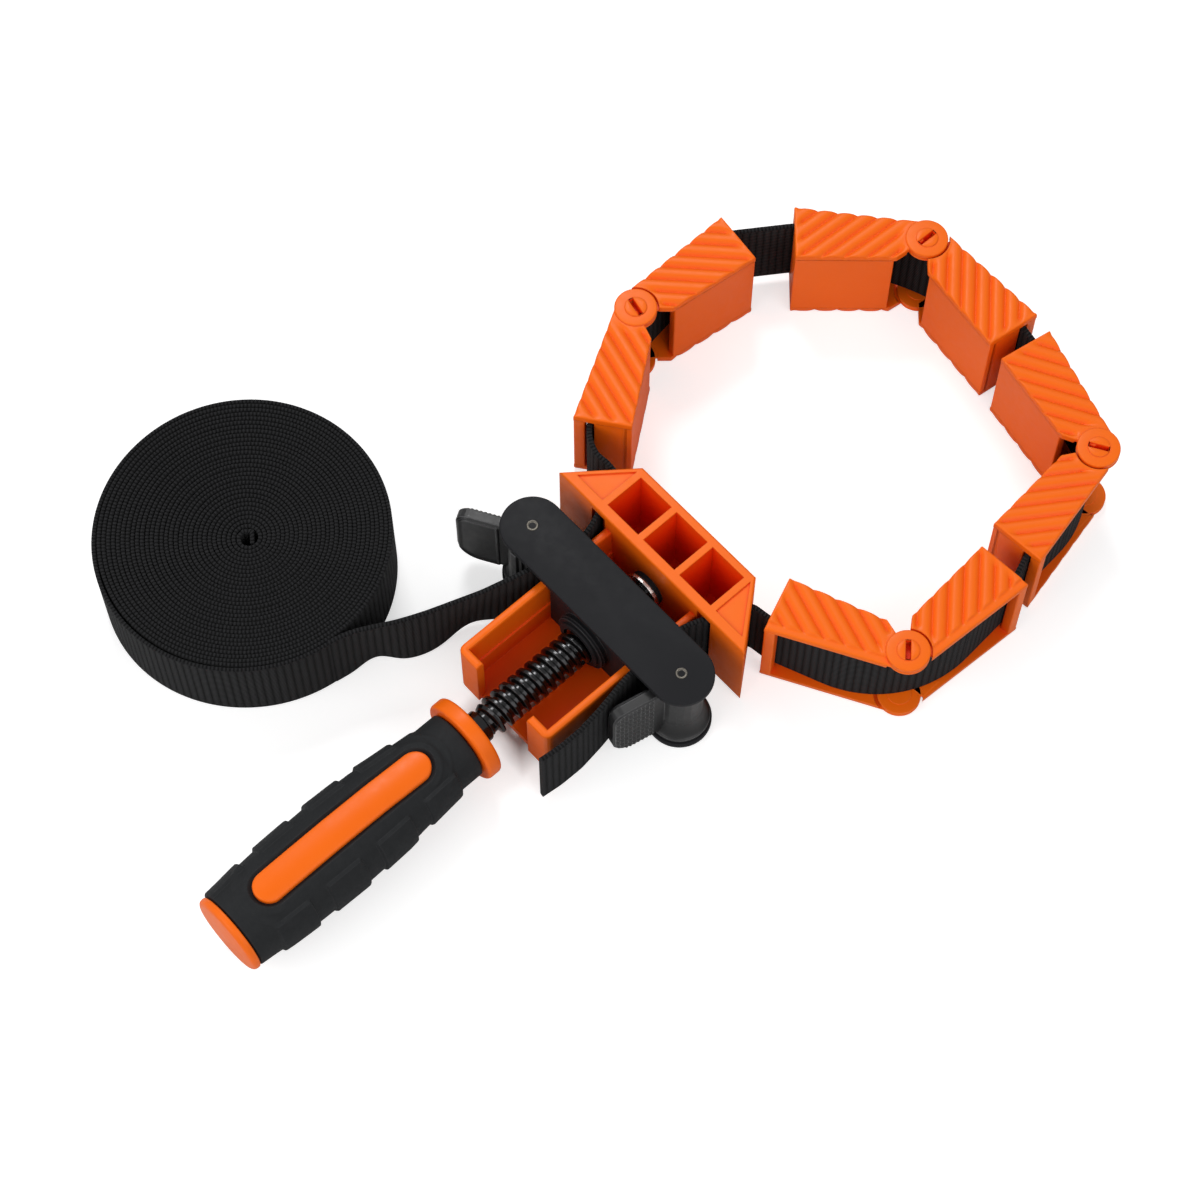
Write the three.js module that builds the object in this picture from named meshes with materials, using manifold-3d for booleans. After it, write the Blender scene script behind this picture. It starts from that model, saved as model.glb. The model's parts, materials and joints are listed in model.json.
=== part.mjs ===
// Screw-tightened band clamp: a fixed jaw with a channel, eight hinged corner jaws on a strap loop,
// a carriage with two cam levers that a handle screw draws along the channel, and the coiled spare strap.
// Millimetres, +Z up. The table is z = 0, +Y runs from the handle to the loop, and the origin lies under
// the middle of the fixed jaw's back wall.
import * as THREE from 'three';
import { mergeVertices } from 'three/addons/utils/BufferGeometryUtils.js';
import Module from 'manifold-3d';

const wasm = await Module();
wasm.setup();

// Clearances and overruns
const GAP = 0.3;
const CUT_OVER = 1;
const JOIN_OVER = 0.4;

// Strap
const STRAP_WIDTH = 25;
const STRAP_THICK = 1.4;

// Fixed jaw: a trapezoid block with three cells, seen from above. Every jaw stands over the strap by its margin
const JAW_MARGIN = 2.5;
const FIXED_BACK_HALF = 36;
const FIXED_FRONT_HALF = 22;
const FIXED_DEPTH = 17.4;
const BACK_WALL = 2.9;
const FIXED_EDGE_ROUND = 0.5;
const CELL_WIDTH = 12;
const CELL_LENGTH = 12.1;
const CELL_WEB = 2;
const CELL_FLOOR = 2;
const END_FLAT_RIM = 1.25;
const END_FLAT_DEPTH = 0.5;
const SLOT_ROOM = 0.5;
const BACK_SLOT_WIDTH = 5.1;
const EXIT_DEPTH = 12.1;

// Channel behind the fixed jaw
const CHANNEL_HALF = 17.7;
const CHANNEL_WALL = 2.4;
const CHANNEL_LENGTH = 54.3;
const CHANNEL_BELOW_STRAP_TOP = 3.5;
const CHANNEL_FLOOR = 2.4;
const LIP_GAP_HALF = 9.8;
const CHANNEL_CORNER = 2.2;
const CHANNEL_EDGE = 0.8;
const LEDGE_HEIGHT = 8;
const LEDGE_THICK = 0.6;
const KEY_SLOT_HALF = 1.9;
const KEY_SLOT_LENGTH = 44;

// Carriage: two plates, a nut block and two rivets
const RIVET_SPACING = 58;
const RIVET_BACK = 15.9;
const PLATE_RADIUS = 8.8;
const CARRIAGE_PLATE = 1.9;
const RIVET_RADIUS = 1.6;
const BLOCK_LENGTH = 14;
const BLOCK_BOSS_RADIUS = 8.5;
const BLOCK_BOSS_LENGTH = 2.3;
const KEY_LENGTH = 10;
const KEY_DEPTH = 0.8;
const TRAVEL_FORWARD = 4;

// Cam levers
const CAM_CLOSED_RADIUS = 9.4;
const CAM_OPEN_RADIUS = 6.8;
const CAM_HUB_WALL = 4.3;
const CAM_CLOSED_SHARE = 0.97;
const CAM_WAIST_SHARE = 1.2;
const CAM_BACK_ANGLES = [190, 215, 235, 455];
const CAM_BACK_STEPS = 12;
const CAM_CLEAR = 0.4;
const CAM_TOOTH = 0.5;
const CAM_TEETH = 8;
const CAM_SWING = 75;
const LEVER_REACH = 21.3;
const LEVER_THICK = 3.5;
const LEVER_INSET = 1;
const LEVER_TOP_CORNER = 3.5;
const LEVER_LOW_CORNER = 6.5;
const LEVER_CLOSED_HEADING = 258;
const LEFT_OPEN_TURN = 71.3;

// Screw
const SCREW_CREST = 5.25;
const SCREW_ROOT = 3.75;
const SCREW_PITCH = 3;
const NECK_RADIUS = 4.65;
const NECK_LENGTH = 4;
const SHOULDER_RADIUS = 4.3;
const SHOULDER_LENGTH = 2.2;
const JOURNAL_RADIUS = 3;
const JOURNAL_PAST_WALL = 3;
const THREAD_SIDES = 10;
const THREAD_RINGS = 5;
const WASHER_RADIUS = 6;
const WASHER_THICK = 1;
const COLLAR_RADIUS = 5.4;
const COLLAR_THICK = 1.4;
const CLIP_RADIUS = 4.9;
const CLIP_THICK = 1;
const CLIP_GROOVE = 0.5;
const CLIP_MOUTH = 3.6;

// Handle
const HANDLE_BACK = 63.6;
const HANDLE_COLLAR_RADIUS = 12.2;
const HANDLE_COLLAR_LENGTH = 4.4;
const HANDLE_COLLAR_ROUND = 1.3;
const GRIP_LENGTH = 76.3;
const GRIP_RADIUS = 12.8;
const GRIP_PROFILE_SHARES = [
  [0, 0.77], [0.098, 0.772], [0.104, 0.812], [0.16, 0.84], [0.28, 0.905], [0.36, 0.96], [0.45, 0.982],
  [0.56, 1], [0.71, 0.985], [0.79, 0.972], [0.87, 0.943], [0.945, 0.897], [1, 0.872],
];
const GRIP_WALL = 2.3;
const GRIP_BLOCK_HEIGHT = 0.8;
const GRIP_BLOCK_LENGTH = 11.9;
const GRIP_BLOCK_PITCH = 16.8;
const GRIP_BLOCK_FRONT = 13.2;
const GRIP_BLOCK_STAGGER = 6.9;
const GRIP_BLOCK_EDGE = 0.7;
const GRIP_BLOCKS = 4;
const GRIP_BLOCK_HALF_ANGLE = 46;
const GRIP_EDGE_ANGLE = 5;
const INLAY_HALF = 4.5;
const INLAY_FRONT = 14.6;
const INLAY_BACK = 10.5;
const INLAY_GROOVE = 0.8;
const INLAY_PROUD = 0.2;
const HANDLE_BORE_DEPTH = 22;
const CAP_RADIUS = 11.3;
const CAP_LENGTH = 2.5;
const CAP_ROUND = 1.4;
const ROUND_SHARE = 0.3;

// Hinged jaws, in the frame of one arm: x along the arm from its pin, y outward
const ARM_LENGTH = 36.5;
const ARM_INNER = 6;
const ARM_OUTER = 10.2;
const ARM_NEAR = 8.5;
const ARM_PLATE = 2.2;
const ARM_INNER_WALL = 2.5;
const ARM_END_WALL = 3;
const ARM_SLOT = 5.8;
const STRAP_INSIDE = 0.65;
const STRAP_BEND_SHARES = [0.5, 0.38, 0.26, 0.17, 0.08];
const KNUCKLE_RADIUS = 5.9;
const KNUCKLE_PROUD = 0.4;
const KNUCKLE_FOOT = 0.1;
const KNUCKLE_CLEAR = 0.6;
const LAP_THICK = 0.7;
const STUD_RADIUS = 2.6;
const STUD_FACE_RADIUS = 3.05;
const STUD_FACE_PROUD = 0.3;
const STUD_SLOT_WIDTH = 1.1;
const STUD_SLOT_LENGTH = 5.5;
const STUD_SLOT_TURN = 41;
const FLIPPED_SLOT_TURN = 112;
const OUTER_EDGE_SHARE = 0.93;
const WALL_SETBACK = 0.6;
const RIB_PITCH = 5.3;
const RIB_DEPTH = 1;
const RIB_STEPS = 4;
const RIB_ANGLE = 39;
const BORDER_WIDTH = 2;
const BORDER_DROP = 0.6;

// Layout of the loop as it lies: the strap's free length between neighbours, the third one along x, and the
// headings in degrees. The third closes the loop: both chains of jaws are turned until it comes out
const FIRST_FREE_LENGTH = 16.76;
const FIRST_FREE_ANGLE = 164.3;
const SECOND_FREE_LENGTH = 18.03;
const SECOND_FREE_ANGLE = 55.26;
const THIRD_FREE_LENGTH = 5.61;
const FOURTH_FREE_LENGTH = 7.56;
const FOURTH_FREE_ANGLE = 109.37;
const FIFTH_FREE_LENGTH = 6.29;
const FIFTH_FREE_ANGLE = 7.47;
const LARGEST_SPREAD = 20;
const SPREAD_STEPS = 40;
const ARM_HEADINGS = {
  '1a': 306.6, '1b': 82.8, '2a': 227.3, '2b': 352.5, '3a': 170.0, '3b': 274.6, '4b': 94.1, '4a': 202.1,
};

// Free strap: the cut end beside the right lever, and the tail and coil on the left
const END_ROUTE = [[18.7, -15], [18.75, -23], [19.9, -31], [21.4, -39], [22.4, -47], [22.3, -54], [21.6, -60]];
const TAIL_ROUTE = [
  [-18.75, -14], [-19.2, -18.5], [-21.7, -29.5], [-24.6, -39.2], [-27.8, -46.7],
  [-30.8, -54], [-34, -61.2], [-36.6, -65.9], [-39.1, -70.4], [-40.7, -74.6],
];
const TAIL_DROP_FROM = -28;
const TAIL_DROP_TO = -58;
const COIL_RADIUS = 41;
const COIL_CENTRE = [-81.6, -73.85];
const COIL_CORE = [-79.3, -74.15];
const COIL_PITCH = 1.58;
const COIL_THICK = 1;
const COIL_LOOPS = 24;
const COIL_STEPS = 24;
const COIL_START_ANGLE = -6;

// Worked out from the sizes above
const JAW_HEIGHT = STRAP_WIDTH + 2 * JAW_MARGIN;
const MID_Z = JAW_HEIGHT / 2;
const STRAP_LOW = MID_Z - STRAP_WIDTH / 2;
const STRAP_HIGH = MID_Z + STRAP_WIDTH / 2;
const CHANNEL_TOP = STRAP_HIGH - CHANNEL_BELOW_STRAP_TOP;
const LEVER_HEIGHT = STRAP_WIDTH - 2 * LEVER_INSET;
const CAM_HUB_RADIUS = RIVET_RADIUS + GAP + CAM_HUB_WALL;
const KEY_SLOT_FRONT = RIVET_BACK - KEY_LENGTH / 2 - TRAVEL_FORWARD - CAM_CLEAR;
const BACK_Y = -BACK_WALL / 2;
const FRONT_Y = BACK_Y + FIXED_DEPTH;
const STRAP_SIDE = CHANNEL_HALF + GAP + STRAP_THICK / 2;
const EXIT_Y = BACK_Y + EXIT_DEPTH;
const EXIT_X = FIXED_BACK_HALF - (FIXED_BACK_HALF - FIXED_FRONT_HALF) * EXIT_DEPTH / FIXED_DEPTH;
const CELL_OUTER_X = CELL_WIDTH * 1.5 + CELL_WEB;
const PIVOT_X = RIVET_SPACING / 2;
const PIVOT_Y = BACK_Y - RIVET_BACK;
const TOP_PLATE_LOW = STRAP_HIGH + GAP;
const TOP_PLATE_HIGH = TOP_PLATE_LOW + CARRIAGE_PLATE;
const LOW_PLATE_HIGH = STRAP_LOW - GAP;
const LOW_PLATE_LOW = LOW_PLATE_HIGH - CARRIAGE_PLATE;
const LAP_LOW = LOW_PLATE_HIGH - LAP_THICK;
const LAP_HIGH = STRAP_HIGH + GAP + LAP_THICK;
const BLOCK_HALF = CHANNEL_HALF - CHANNEL_WALL - LEDGE_THICK - CAM_CLEAR;
const HANDLE_FRONT_Y = BACK_Y - HANDLE_BACK;
const GRIP_FRONT_Y = HANDLE_FRONT_Y - HANDLE_COLLAR_LENGTH - GAP;
const GRIP_REAR_Y = GRIP_FRONT_Y - GRIP_LENGTH;
const CORE_RADIUS = GRIP_RADIUS * GRIP_PROFILE_SHARES[0][1] - GRIP_WALL + GAP;
const COLLAR_Y = BACK_Y - GAP;
const WASHER_Y = COLLAR_Y - COLLAR_THICK - GAP;
const SHOULDER_Y = WASHER_Y - WASHER_THICK - GAP;
const CLIP_Y = BACK_Y + BACK_WALL + GAP;

const ORANGE = new THREE.MeshStandardMaterial({ color: 0xee5a10, roughness: 0.42, metalness: 0, flatShading: true });
const BLACK = new THREE.MeshStandardMaterial({ color: 0x1b1c1e, roughness: 0.5, metalness: 0, flatShading: true });
const RUBBER = new THREE.MeshStandardMaterial({ color: 0x2b2d2f, roughness: 0.8, metalness: 0, flatShading: true });
const STEEL = new THREE.MeshStandardMaterial({ color: 0xc4c2be, roughness: 0.3, metalness: 1, flatShading: true });
const DARK_STEEL = new THREE.MeshStandardMaterial({ color: 0x26272a, roughness: 0.35, metalness: 0.8, flatShading: true });
const WEBBING = new THREE.MeshStandardMaterial({ color: 0x17181a, roughness: 0.95, metalness: 0, flatShading: true });

const rad = THREE.MathUtils.degToRad;

// Six times the signed volume of an indexed mesh, to tell which way its faces look.
function signedVolume(points, index) {
  let sum = 0;
  for (let i = 0; i < index.length; i += 3) {
    const [a, b, c] = [index[i] * 3, index[i + 1] * 3, index[i + 2] * 3];
    sum += points[a] * (points[b + 1] * points[c + 2] - points[b + 2] * points[c + 1]);
    sum += points[a + 1] * (points[b + 2] * points[c] - points[b] * points[c + 2]);
    sum += points[a + 2] * (points[b] * points[c + 1] - points[b + 1] * points[c]);
  }
  return sum;
}

// A closed three.js geometry as a solid that can be joined and cut, its faces turned outward.
function solid(source) {
  const geometry = source.clone();
  for (const name of ['normal', 'uv']) {
    if (geometry.getAttribute(name)) geometry.deleteAttribute(name);
  }
  const merged = mergeVertices(geometry, 1e-5);
  const points = Float32Array.from(merged.getAttribute('position').array);
  const index = [];
  const all = merged.getIndex().array;
  for (let i = 0; i < all.length; i += 3) {
    const [a, b, c] = [all[i], all[i + 1], all[i + 2]];
    if (a !== b && b !== c && c !== a) index.push(a, b, c);
  }
  if (signedVolume(points, index) < 0) {
    for (let i = 0; i < index.length; i += 3) {
      [index[i + 1], index[i + 2]] = [index[i + 2], index[i + 1]];
    }
  }
  return new wasm.Manifold(new wasm.Mesh({ numProp: 3, vertProperties: points, triVerts: Uint32Array.from(index) }));
}

const join = (parts) => parts.reduce((all, part) => all.add(part));
const cut = (body, tools) => tools.reduce((rest, tool) => rest.subtract(tool), body);

// A named mesh from a solid.
function meshOf(name, body, material) {
  const result = body.getMesh();
  const geometry = new THREE.BufferGeometry();
  geometry.setAttribute('position', new THREE.BufferAttribute(Float32Array.from(result.vertProperties), 3));
  geometry.setIndex(new THREE.BufferAttribute(Uint32Array.from(result.triVerts), 1));
  geometry.computeVertexNormals();
  const mesh = new THREE.Mesh(geometry, material);
  mesh.name = name;
  return mesh;
}

// An upright prism over a plan outline, optionally with rounded top and bottom edges.
function prism(points, low, high, round = 0, steps = 1) {
  const shape = new THREE.Shape(points.map(([x, y]) => new THREE.Vector2(x, y)));
  const geometry = new THREE.ExtrudeGeometry(shape, {
    depth: high - low - 2 * round,
    steps: 1,
    bevelEnabled: round > 0,
    bevelThickness: round,
    bevelSize: round,
    bevelOffset: -round,
    bevelSegments: steps,
  });
  geometry.translate(0, 0, low + round);
  return geometry;
}

function box([x0, x1], [y0, y1], [z0, z1]) {
  const geometry = new THREE.BoxGeometry(x1 - x0, y1 - y0, z1 - z0);
  geometry.translate((x0 + x1) / 2, (y0 + y1) / 2, (z0 + z1) / 2);
  return geometry;
}

// Upright rod at x, y.
function rodZ(radius, x, y, low, high, sides = 20) {
  const geometry = new THREE.CylinderGeometry(radius, radius, high - low, sides);
  geometry.rotateX(Math.PI / 2);
  geometry.translate(x, y, (low + high) / 2);
  return geometry;
}

// Rod along the screw axis between two y values.
function rodY(radius, y0, y1, sides = 20) {
  const geometry = new THREE.CylinderGeometry(radius, radius, Math.abs(y1 - y0), sides);
  geometry.translate(0, (y0 + y1) / 2, MID_Z);
  return geometry;
}

// A body turned about the screw axis from [radius, y] pairs that start and end on the axis.
function turned(profile, sides = 28) {
  const geometry = new THREE.LatheGeometry(profile.map(([r, y]) => new THREE.Vector2(r, y)), sides);
  geometry.translate(0, 0, MID_Z);
  return geometry;
}

// Points of an arc about a centre, both end angles included, in degrees.
function arc([x, y], radius, from, to, steps) {
  return Array.from({ length: steps + 1 }, (_, i) => {
    const a = rad(from + (to - from) * i / steps);
    return [x + radius * Math.cos(a), y + radius * Math.sin(a)];
  });
}

const lerp = (a, b, t) => a + (b - a) * t;
const between = ([ax, ay], [bx, by], t) => [lerp(ax, bx, t), lerp(ay, by, t)];
const mirrored = (points) => points.map(([x, y]) => [-x, y]);
const polar = ([x, y], length, angle) => [x + length * Math.cos(rad(angle)), y + length * Math.sin(rad(angle))];

// Mitred sideways direction at each point of a route.
function sideways(route) {
  const unit = (a, b) => {
    const length = Math.hypot(b[0] - a[0], b[1] - a[1]);
    return [(b[0] - a[0]) / length, (b[1] - a[1]) / length];
  };
  return route.map((point, i) => {
    const before = i > 0 ? unit(route[i - 1], point) : unit(point, route[i + 1]);
    const after = i < route.length - 1 ? unit(point, route[i + 1]) : before;
    const sum = [-(before[1] + after[1]), before[0] + after[0]];
    const scale = 1 + before[0] * after[0] + before[1] * after[1];
    return [sum[0] / scale, sum[1] / scale];
  });
}

// A standing band along a route: at each point its lower and upper edge heights and its thickness.
function band(route, low, high, thick) {
  const side = sideways(route);
  const points = [];
  route.forEach(([x, y], i) => {
    const half = thick(i) / 2;
    const [sx, sy] = side[i];
    points.push(x + sx * half, y + sy * half, low(i), x - sx * half, y - sy * half, low(i));
    points.push(x - sx * half, y - sy * half, high(i), x + sx * half, y + sy * half, high(i));
  });
  const index = [0, 1, 2, 0, 2, 3];
  for (let i = 0; i < route.length - 1; i += 1) {
    for (let k = 0; k < 4; k += 1) {
      const [a, b] = [i * 4 + k, i * 4 + (k + 1) % 4];
      index.push(a, a + 4, b + 4, a, b + 4, b);
    }
  }
  const end = (route.length - 1) * 4;
  index.push(end, end + 2, end + 1, end, end + 3, end + 2);
  const geometry = new THREE.BufferGeometry();
  geometry.setAttribute('position', new THREE.Float32BufferAttribute(points, 3));
  geometry.setIndex(index);
  return geometry;
}

// A route shortened by the same length at both ends.
function trimmed(route, length) {
  const ends = (a, b) => between(a, b, length / Math.hypot(b[0] - a[0], b[1] - a[1]));
  const last = route.length - 1;
  return [ends(route[0], route[1]), ...route.slice(1, last), ends(route[last], route[last - 1])];
}

// A level strap piece between the jaw plates, half a gap short at each end.
function strapPiece(name, route) {
  const body = band(trimmed(route, GAP / 2), () => STRAP_LOW, () => STRAP_HIGH, () => STRAP_THICK);
  return meshOf(name, solid(body), WEBBING);
}

// Prism around a strap route, wide enough to let the strap through.
function passage(route) {
  const side = sideways(route);
  const half = STRAP_THICK / 2 + SLOT_ROOM;
  const left = route.map(([x, y], i) => [x + side[i][0] * half, y + side[i][1] * half]);
  const right = route.map(([x, y], i) => [x - side[i][0] * half, y - side[i][1] * half]);
  return prism([...left, ...right.reverse()], STRAP_LOW - GAP, STRAP_HIGH + GAP);
}

// The strap's way through the right half of the fixed jaw, from the channel side to the slanted end.
const GUIDE_ENTRY = [STRAP_SIDE, BACK_Y - 2 * BACK_WALL];
const GUIDE_BACK = [CELL_OUTER_X + STRAP_THICK / 2, BACK_Y];
const GUIDE_INNER = [CELL_OUTER_X + STRAP_THICK + 2 * SLOT_ROOM, BACK_Y + BACK_WALL];
const GUIDE_EXIT = [EXIT_X, EXIT_Y];
const GUIDE_MID = between(GUIDE_INNER, GUIDE_EXIT, 0.5);

// One wall of the channel with its rear lip, for the side given by sense.
function channelWall(sense) {
  const rear = BACK_Y - CHANNEL_LENGTH + BACK_WALL / 2;
  const inner = CHANNEL_HALF - CHANNEL_WALL;
  const corner = [CHANNEL_HALF - CHANNEL_CORNER, rear + CHANNEL_CORNER];
  const outline = [
    [inner, BACK_Y + JOIN_OVER],
    [inner, rear + CHANNEL_WALL],
    [LIP_GAP_HALF, rear + CHANNEL_WALL],
    [LIP_GAP_HALF, rear],
    ...arc(corner, CHANNEL_CORNER, 270, 360, 4),
    [CHANNEL_HALF, BACK_Y + JOIN_OVER],
  ];
  const points = sense > 0 ? outline : mirrored(outline).reverse();
  return solid(prism(points, STRAP_LOW, CHANNEL_TOP, CHANNEL_EDGE, 2));
}

function fixedJawFrame() {
  const outline = [
    [-FIXED_BACK_HALF, BACK_Y], [FIXED_BACK_HALF, BACK_Y], [FIXED_FRONT_HALF, FRONT_Y], [-FIXED_FRONT_HALF, FRONT_Y],
  ];
  const block = solid(prism(outline, 0, JAW_HEIGHT, FIXED_EDGE_ROUND));
  const rear = BACK_Y - CHANNEL_LENGTH + BACK_WALL / 2;
  const inner = CHANNEL_HALF - CHANNEL_WALL;
  const floorTop = STRAP_LOW + CHANNEL_FLOOR;
  const floor = solid(box([-CHANNEL_HALF + CHANNEL_WALL / 2, CHANNEL_HALF - CHANNEL_WALL / 2],
    [rear + CHANNEL_WALL / 2, BACK_Y + JOIN_OVER], [STRAP_LOW + GAP / 2, floorTop]));
  const ledges = [-1, 1].map((s) => solid(box(
    [Math.min(s * (inner - LEDGE_THICK), s * (inner + JOIN_OVER)), Math.max(s * (inner - LEDGE_THICK), s * (inner + JOIN_OVER))],
    [rear + CHANNEL_WALL / 2, BACK_Y + JOIN_OVER], [floorTop - JOIN_OVER, floorTop + LEDGE_HEIGHT])));
  const cells = [-1, 0, 1].map((i) => {
    const middle = i * (CELL_WIDTH + CELL_WEB);
    return solid(box([middle - CELL_WIDTH / 2, middle + CELL_WIDTH / 2],
      [BACK_Y + BACK_WALL, BACK_Y + BACK_WALL + CELL_LENGTH], [CELL_FLOOR, JAW_HEIGHT + CUT_OVER]));
  });
  const slope = (FIXED_BACK_HALF - FIXED_FRONT_HALF) / FIXED_DEPTH;
  const rimX = END_FLAT_RIM * Math.hypot(1, slope);
  const flatBase = BACK_Y + BACK_WALL;
  const flatFar = FIXED_BACK_HALF - slope * BACK_WALL - rimX;
  const flatNear = CELL_OUTER_X + CELL_WEB;
  const flat = [[flatNear, flatBase], [flatFar, flatBase], [flatNear, flatBase + (flatFar - flatNear) / slope]];
  const flats = [flat, mirrored(flat).reverse()].map((points) => solid(
    prism(points, JAW_HEIGHT - END_FLAT_DEPTH, JAW_HEIGHT + CUT_OVER)));
  const guide = [GUIDE_ENTRY, GUIDE_BACK, GUIDE_INNER, GUIDE_EXIT, polar(GUIDE_EXIT, BACK_WALL, FIFTH_FREE_ANGLE)];
  const guides = [guide, mirrored(guide)].map((route) => solid(passage(route)));
  const slot = [CHANNEL_HALF + GAP, CHANNEL_HALF + GAP + BACK_SLOT_WIDTH];
  const slots = [slot, [-slot[1], -slot[0]]].map((range) => solid(box(range,
    [BACK_Y - CUT_OVER, BACK_Y + BACK_WALL / 2], [STRAP_LOW - GAP, STRAP_HIGH + GAP])));
  const keySlot = solid(box([-KEY_SLOT_HALF, KEY_SLOT_HALF],
    [BACK_Y - KEY_SLOT_FRONT - KEY_SLOT_LENGTH, BACK_Y - KEY_SLOT_FRONT], [STRAP_LOW - CUT_OVER, floorTop + CUT_OVER]));
  const screwHole = solid(rodY(JOURNAL_RADIUS + GAP, BACK_Y - CUT_OVER, BACK_Y + BACK_WALL + CUT_OVER));
  const body = join([block, channelWall(1), channelWall(-1), floor, ...ledges]);
  return meshOf('body_frame', cut(body, [...cells, ...flats, ...guides, ...slots, keySlot, screwHole]), ORANGE);
}

// Stadium outline about two centres, in plan.
function stadium([ax, ay], [bx, by], radius, steps = 10) {
  const heading = THREE.MathUtils.radToDeg(Math.atan2(by - ay, bx - ax));
  return [...arc([bx, by], radius, heading - 90, heading + 90, steps), ...arc([ax, ay], radius, heading + 90, heading + 270, steps)];
}

function carriagePlate(name, low, high, pocketLow, pocketHigh, keyHalf) {
  const outline = stadium([-PIVOT_X, PIVOT_Y], [PIVOT_X, PIVOT_Y], PLATE_RADIUS);
  const holes = [-PIVOT_X, PIVOT_X].map((x) => solid(rodZ(RIVET_RADIUS + GAP, x, PIVOT_Y, low - CUT_OVER, high + CUT_OVER)));
  const pocket = solid(box([-keyHalf - GAP, keyHalf + GAP],
    [PIVOT_Y - KEY_LENGTH / 2 - GAP, PIVOT_Y + KEY_LENGTH / 2 + GAP], [pocketLow, pocketHigh]));
  return meshOf(name, cut(solid(prism(outline, low, high)), [...holes, pocket]), BLACK);
}

function nutBlock() {
  const low = STRAP_LOW + CHANNEL_FLOOR + GAP;
  const front = PIVOT_Y + BLOCK_LENGTH / 2;
  const rear = PIVOT_Y - BLOCK_LENGTH / 2;
  const keyHalf = KEY_SLOT_HALF - CAM_CLEAR;
  const body = solid(box([-BLOCK_HALF, BLOCK_HALF], [rear, front], [low, TOP_PLATE_LOW - GAP]));
  const boss = solid(rodY(BLOCK_BOSS_RADIUS, rear - BLOCK_BOSS_LENGTH, rear + JOIN_OVER, 28));
  const keys = [
    solid(box([-keyHalf, keyHalf], [PIVOT_Y - KEY_LENGTH / 2, PIVOT_Y + KEY_LENGTH / 2],
      [TOP_PLATE_LOW - GAP - JOIN_OVER, TOP_PLATE_LOW + KEY_DEPTH - GAP])),
    solid(box([-keyHalf, keyHalf], [PIVOT_Y - KEY_LENGTH / 2, PIVOT_Y + KEY_LENGTH / 2],
      [LOW_PLATE_HIGH - KEY_DEPTH + GAP, low + JOIN_OVER])),
  ];
  const bore = solid(rodY(SCREW_CREST + GAP, rear - BLOCK_BOSS_LENGTH - CUT_OVER, front + CUT_OVER));
  return meshOf('nut_block', cut(join([body, boss, ...keys]), [bore]), BLACK);
}

// Radius of the gripping cam by direction, in degrees from the closed contact toward the open one.
function camRadius(turn) {
  const share = THREE.MathUtils.clamp(1 - turn / CAM_SWING, 0, 1);
  return CAM_OPEN_RADIUS + (CAM_CLOSED_RADIUS - CAM_OPEN_RADIUS) * share;
}

// One cam lever about its pivot, closed, for the right side (sense 1) or mirrored (sense -1).
function camLever(name, sense, turn) {
  const low = LOW_PLATE_HIGH + CAM_CLEAR;
  const high = TOP_PLATE_LOW - CAM_CLEAR;
  const outline = [];
  const steps = CAM_TEETH * 2;
  for (let i = 0; i <= steps; i += 1) {
    const turnHere = CAM_SWING * (1 - i / steps);
    const radius = camRadius(turnHere) - (i % 2 ? CAM_TOOTH : 0);
    outline.push(polar([0, 0], radius, 180 - turnHere));
  }
  const [closedEnd, waist, backFrom, backTo] = CAM_BACK_ANGLES;
  outline.push(polar([0, 0], CAM_CLOSED_RADIUS * CAM_CLOSED_SHARE, closedEnd));
  outline.push(polar([0, 0], CAM_HUB_RADIUS * CAM_WAIST_SHARE, waist));
  for (let i = 0; i <= CAM_BACK_STEPS; i += 1) {
    outline.push(polar([0, 0], CAM_HUB_RADIUS, lerp(backFrom, backTo, i / CAM_BACK_STEPS)));
  }
  const place = (points) => (sense > 0 ? points : mirrored(points).reverse());
  const cam = solid(prism(place(outline), low, high));
  const profile = [
    [0, -LEVER_HEIGHT / 2],
    ...arc([LEVER_REACH - LEVER_LOW_CORNER, -LEVER_HEIGHT / 2 + LEVER_LOW_CORNER], LEVER_LOW_CORNER, 270, 360, 5),
    ...arc([LEVER_REACH - LEVER_TOP_CORNER, LEVER_HEIGHT / 2 - LEVER_TOP_CORNER], LEVER_TOP_CORNER, 0, 90, 5),
    [0, LEVER_HEIGHT / 2],
  ];
  const blade = prism(profile, -LEVER_THICK / 2, LEVER_THICK / 2, FIXED_EDGE_ROUND);
  blade.rotateX(Math.PI / 2);
  blade.rotateZ(rad(sense > 0 ? LEVER_CLOSED_HEADING : 540 - LEVER_CLOSED_HEADING));
  blade.translate(0, 0, MID_Z);
  const hole = solid(rodZ(RIVET_RADIUS + GAP, 0, 0, low - CUT_OVER, high + CUT_OVER));
  const mesh = meshOf(name, cut(join([cam, solid(blade)]), [hole]), BLACK);
  mesh.position.set(sense * PIVOT_X, PIVOT_Y, 0);
  mesh.rotation.z = rad(turn);
  return mesh;
}

function rivet(name, x) {
  return meshOf(name, solid(rodZ(RIVET_RADIUS, x, PIVOT_Y, LOW_PLATE_LOW + GAP, TOP_PLATE_HIGH)), DARK_STEEL);
}

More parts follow.
